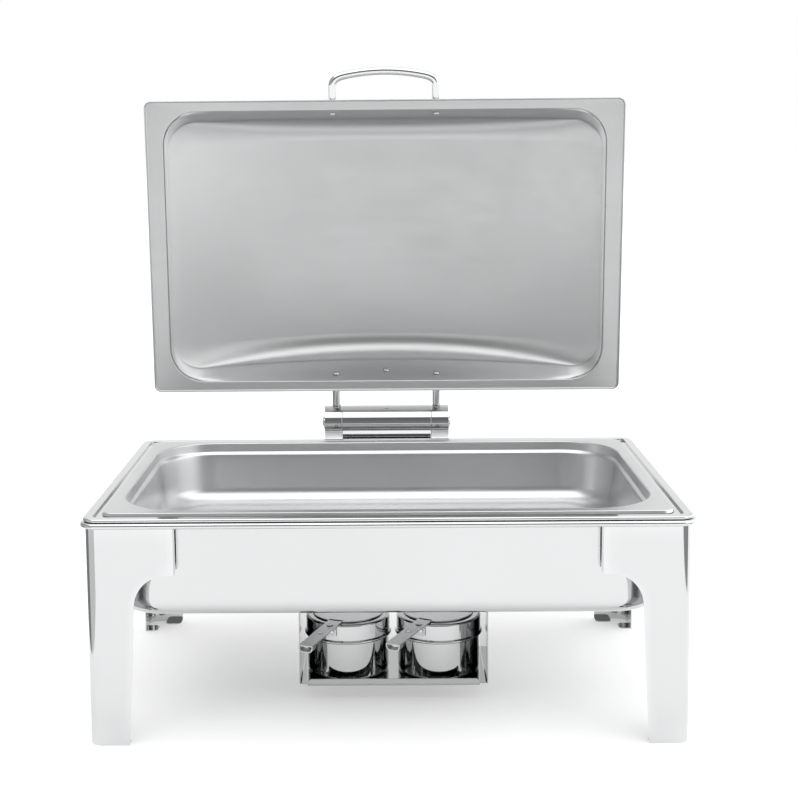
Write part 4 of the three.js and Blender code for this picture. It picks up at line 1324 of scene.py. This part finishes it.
def card(name, centre, size, level):
    """An upright card that shows only in reflections."""
    x, y, z = centre
    points = [(x, y + u, z + v) for u, v in square(size[0] / 2, size[1] / 2)]
    obj = stage_sheet(name, points, 0.0, level)
    obj.visible_camera = False
    obj.visible_diffuse = False
    obj.visible_shadow = False


def studio():
    """A soft studio seen only in light and reflection: a broad box overhead, dark behind the camera."""
    world = bpy.data.worlds.new("studio")
    bpy.context.scene.world = world
    world.use_nodes = True
    tree = world.node_tree
    nodes, links = tree.nodes, tree.links
    direction = nodes.new("ShaderNodeTexCoord").outputs["Generated"]
    split = nodes.new("ShaderNodeSeparateXYZ")
    links.new(direction, split.inputs["Vector"])

    def maths(operation, *values):
        node = nodes.new("ShaderNodeMath")
        node.operation = operation
        for socket, value in zip(node.inputs, values):
            if isinstance(value, float):
                socket.default_value = value
            else:
                links.new(value, socket)
        return node.outputs["Value"]

    # The height angle round the X axis: 0 in front at the horizon, 0.5 overhead, 1 behind.
    front = maths("MULTIPLY", split.outputs["Y"], -1.0)
    angle = maths("DIVIDE", maths("ARCTAN2", split.outputs["Z"], front), math.pi)

    def shade_along(value, stops):
        node = nodes.new("ShaderNodeValToRGB")
        node.color_ramp.interpolation = "EASE"
        elements = node.color_ramp.elements
        while len(elements) < len(stops):
            elements.new(0.5)
        for element, (place, level) in zip(elements, stops):
            element.position = place
            element.color = (level, level, level, 1)
        links.new(value, node.inputs["Fac"])
        return node.outputs["Color"]

    def mix(factor, a, b):
        node = nodes.new("ShaderNodeMix")
        node.data_type = "RGBA"
        links.new(factor, node.inputs["Factor"])
        links.new(a, node.inputs[6])
        links.new(b, node.inputs[7])
        return node.outputs[2]

    long_way = shade_along(
        angle,
        [(0.0, 0.12), (0.2, 0.08), (0.27, 1.0), (0.62, 1.0), (0.67, 0.45), (0.85, 0.42), (0.92, 0.5)],
    )
    # To the sides: a bright box on the right, a grey wall on the left.
    side = maths("MULTIPLY", maths("ADD", split.outputs["X"], 1.0), 0.5)
    across = shade_along(side, [(0.0, 0.24), (0.5, 0.3), (0.72, 0.3), (0.86, 0.85), (1.0, 0.85)])
    away = maths("ABSOLUTE", split.outputs["X"])
    weight = shade_along(away, [(0.45, 0.0), (0.75, 1.0)])
    light = mix(weight, long_way, across)

    shown = nodes.new("ShaderNodeBackground")
    shown.inputs["Color"].default_value = (1, 1, 1, 1)
    shown.inputs["Strength"].default_value = 1.0
    lit = nodes["Background"]
    links.new(light, lit.inputs["Color"])
    lit.inputs["Strength"].default_value = LIGHT_STRENGTH
    camera_ray = nodes.new("ShaderNodeLightPath").outputs["Is Camera Ray"]
    blend = nodes.new("ShaderNodeMixShader")
    links.new(camera_ray, blend.inputs["Fac"])
    links.new(lit.outputs["Background"], blend.inputs[1])
    links.new(shown.outputs["Background"], blend.inputs[2])
    links.new(blend.outputs["Shader"], nodes["World Output"].inputs["Surface"])


def camera():
    data = bpy.data.cameras.new("camera")
    data.sensor_fit = "HORIZONTAL"
    data.sensor_width = 36.0
    data.lens = LENS
    data.shift_x = SHIFT_X
    data.shift_y = SHIFT_Y
    data.clip_start = 0.05
    data.clip_end = 200.0
    obj = bpy.data.objects.new("camera", data)
    bpy.context.scene.collection.objects.link(obj)
    aim = Matrix.Rotation(math.radians(YAW), 4, "Z")
    aim = aim @ Matrix.Rotation(math.radians(90 - PITCH), 4, "X")
    aim = aim @ Matrix.Rotation(math.radians(-ROLL), 4, "Z")
    obj.matrix_world = Matrix.Translation(CAMERA_PLACE) @ aim
    bpy.context.scene.camera = obj
    bpy.context.scene.view_settings.view_transform = "Standard"


camera()
studio()
floor()
for card_row in CARDS:
    card(*card_row)
water_pan()
food_pan()
stand_ring()
legs()
lid_shell()
lid_handle()
hinge()
hinge_bracket()
hinge_plate()
screws()
burner_tray()
tray_rails()
burners()
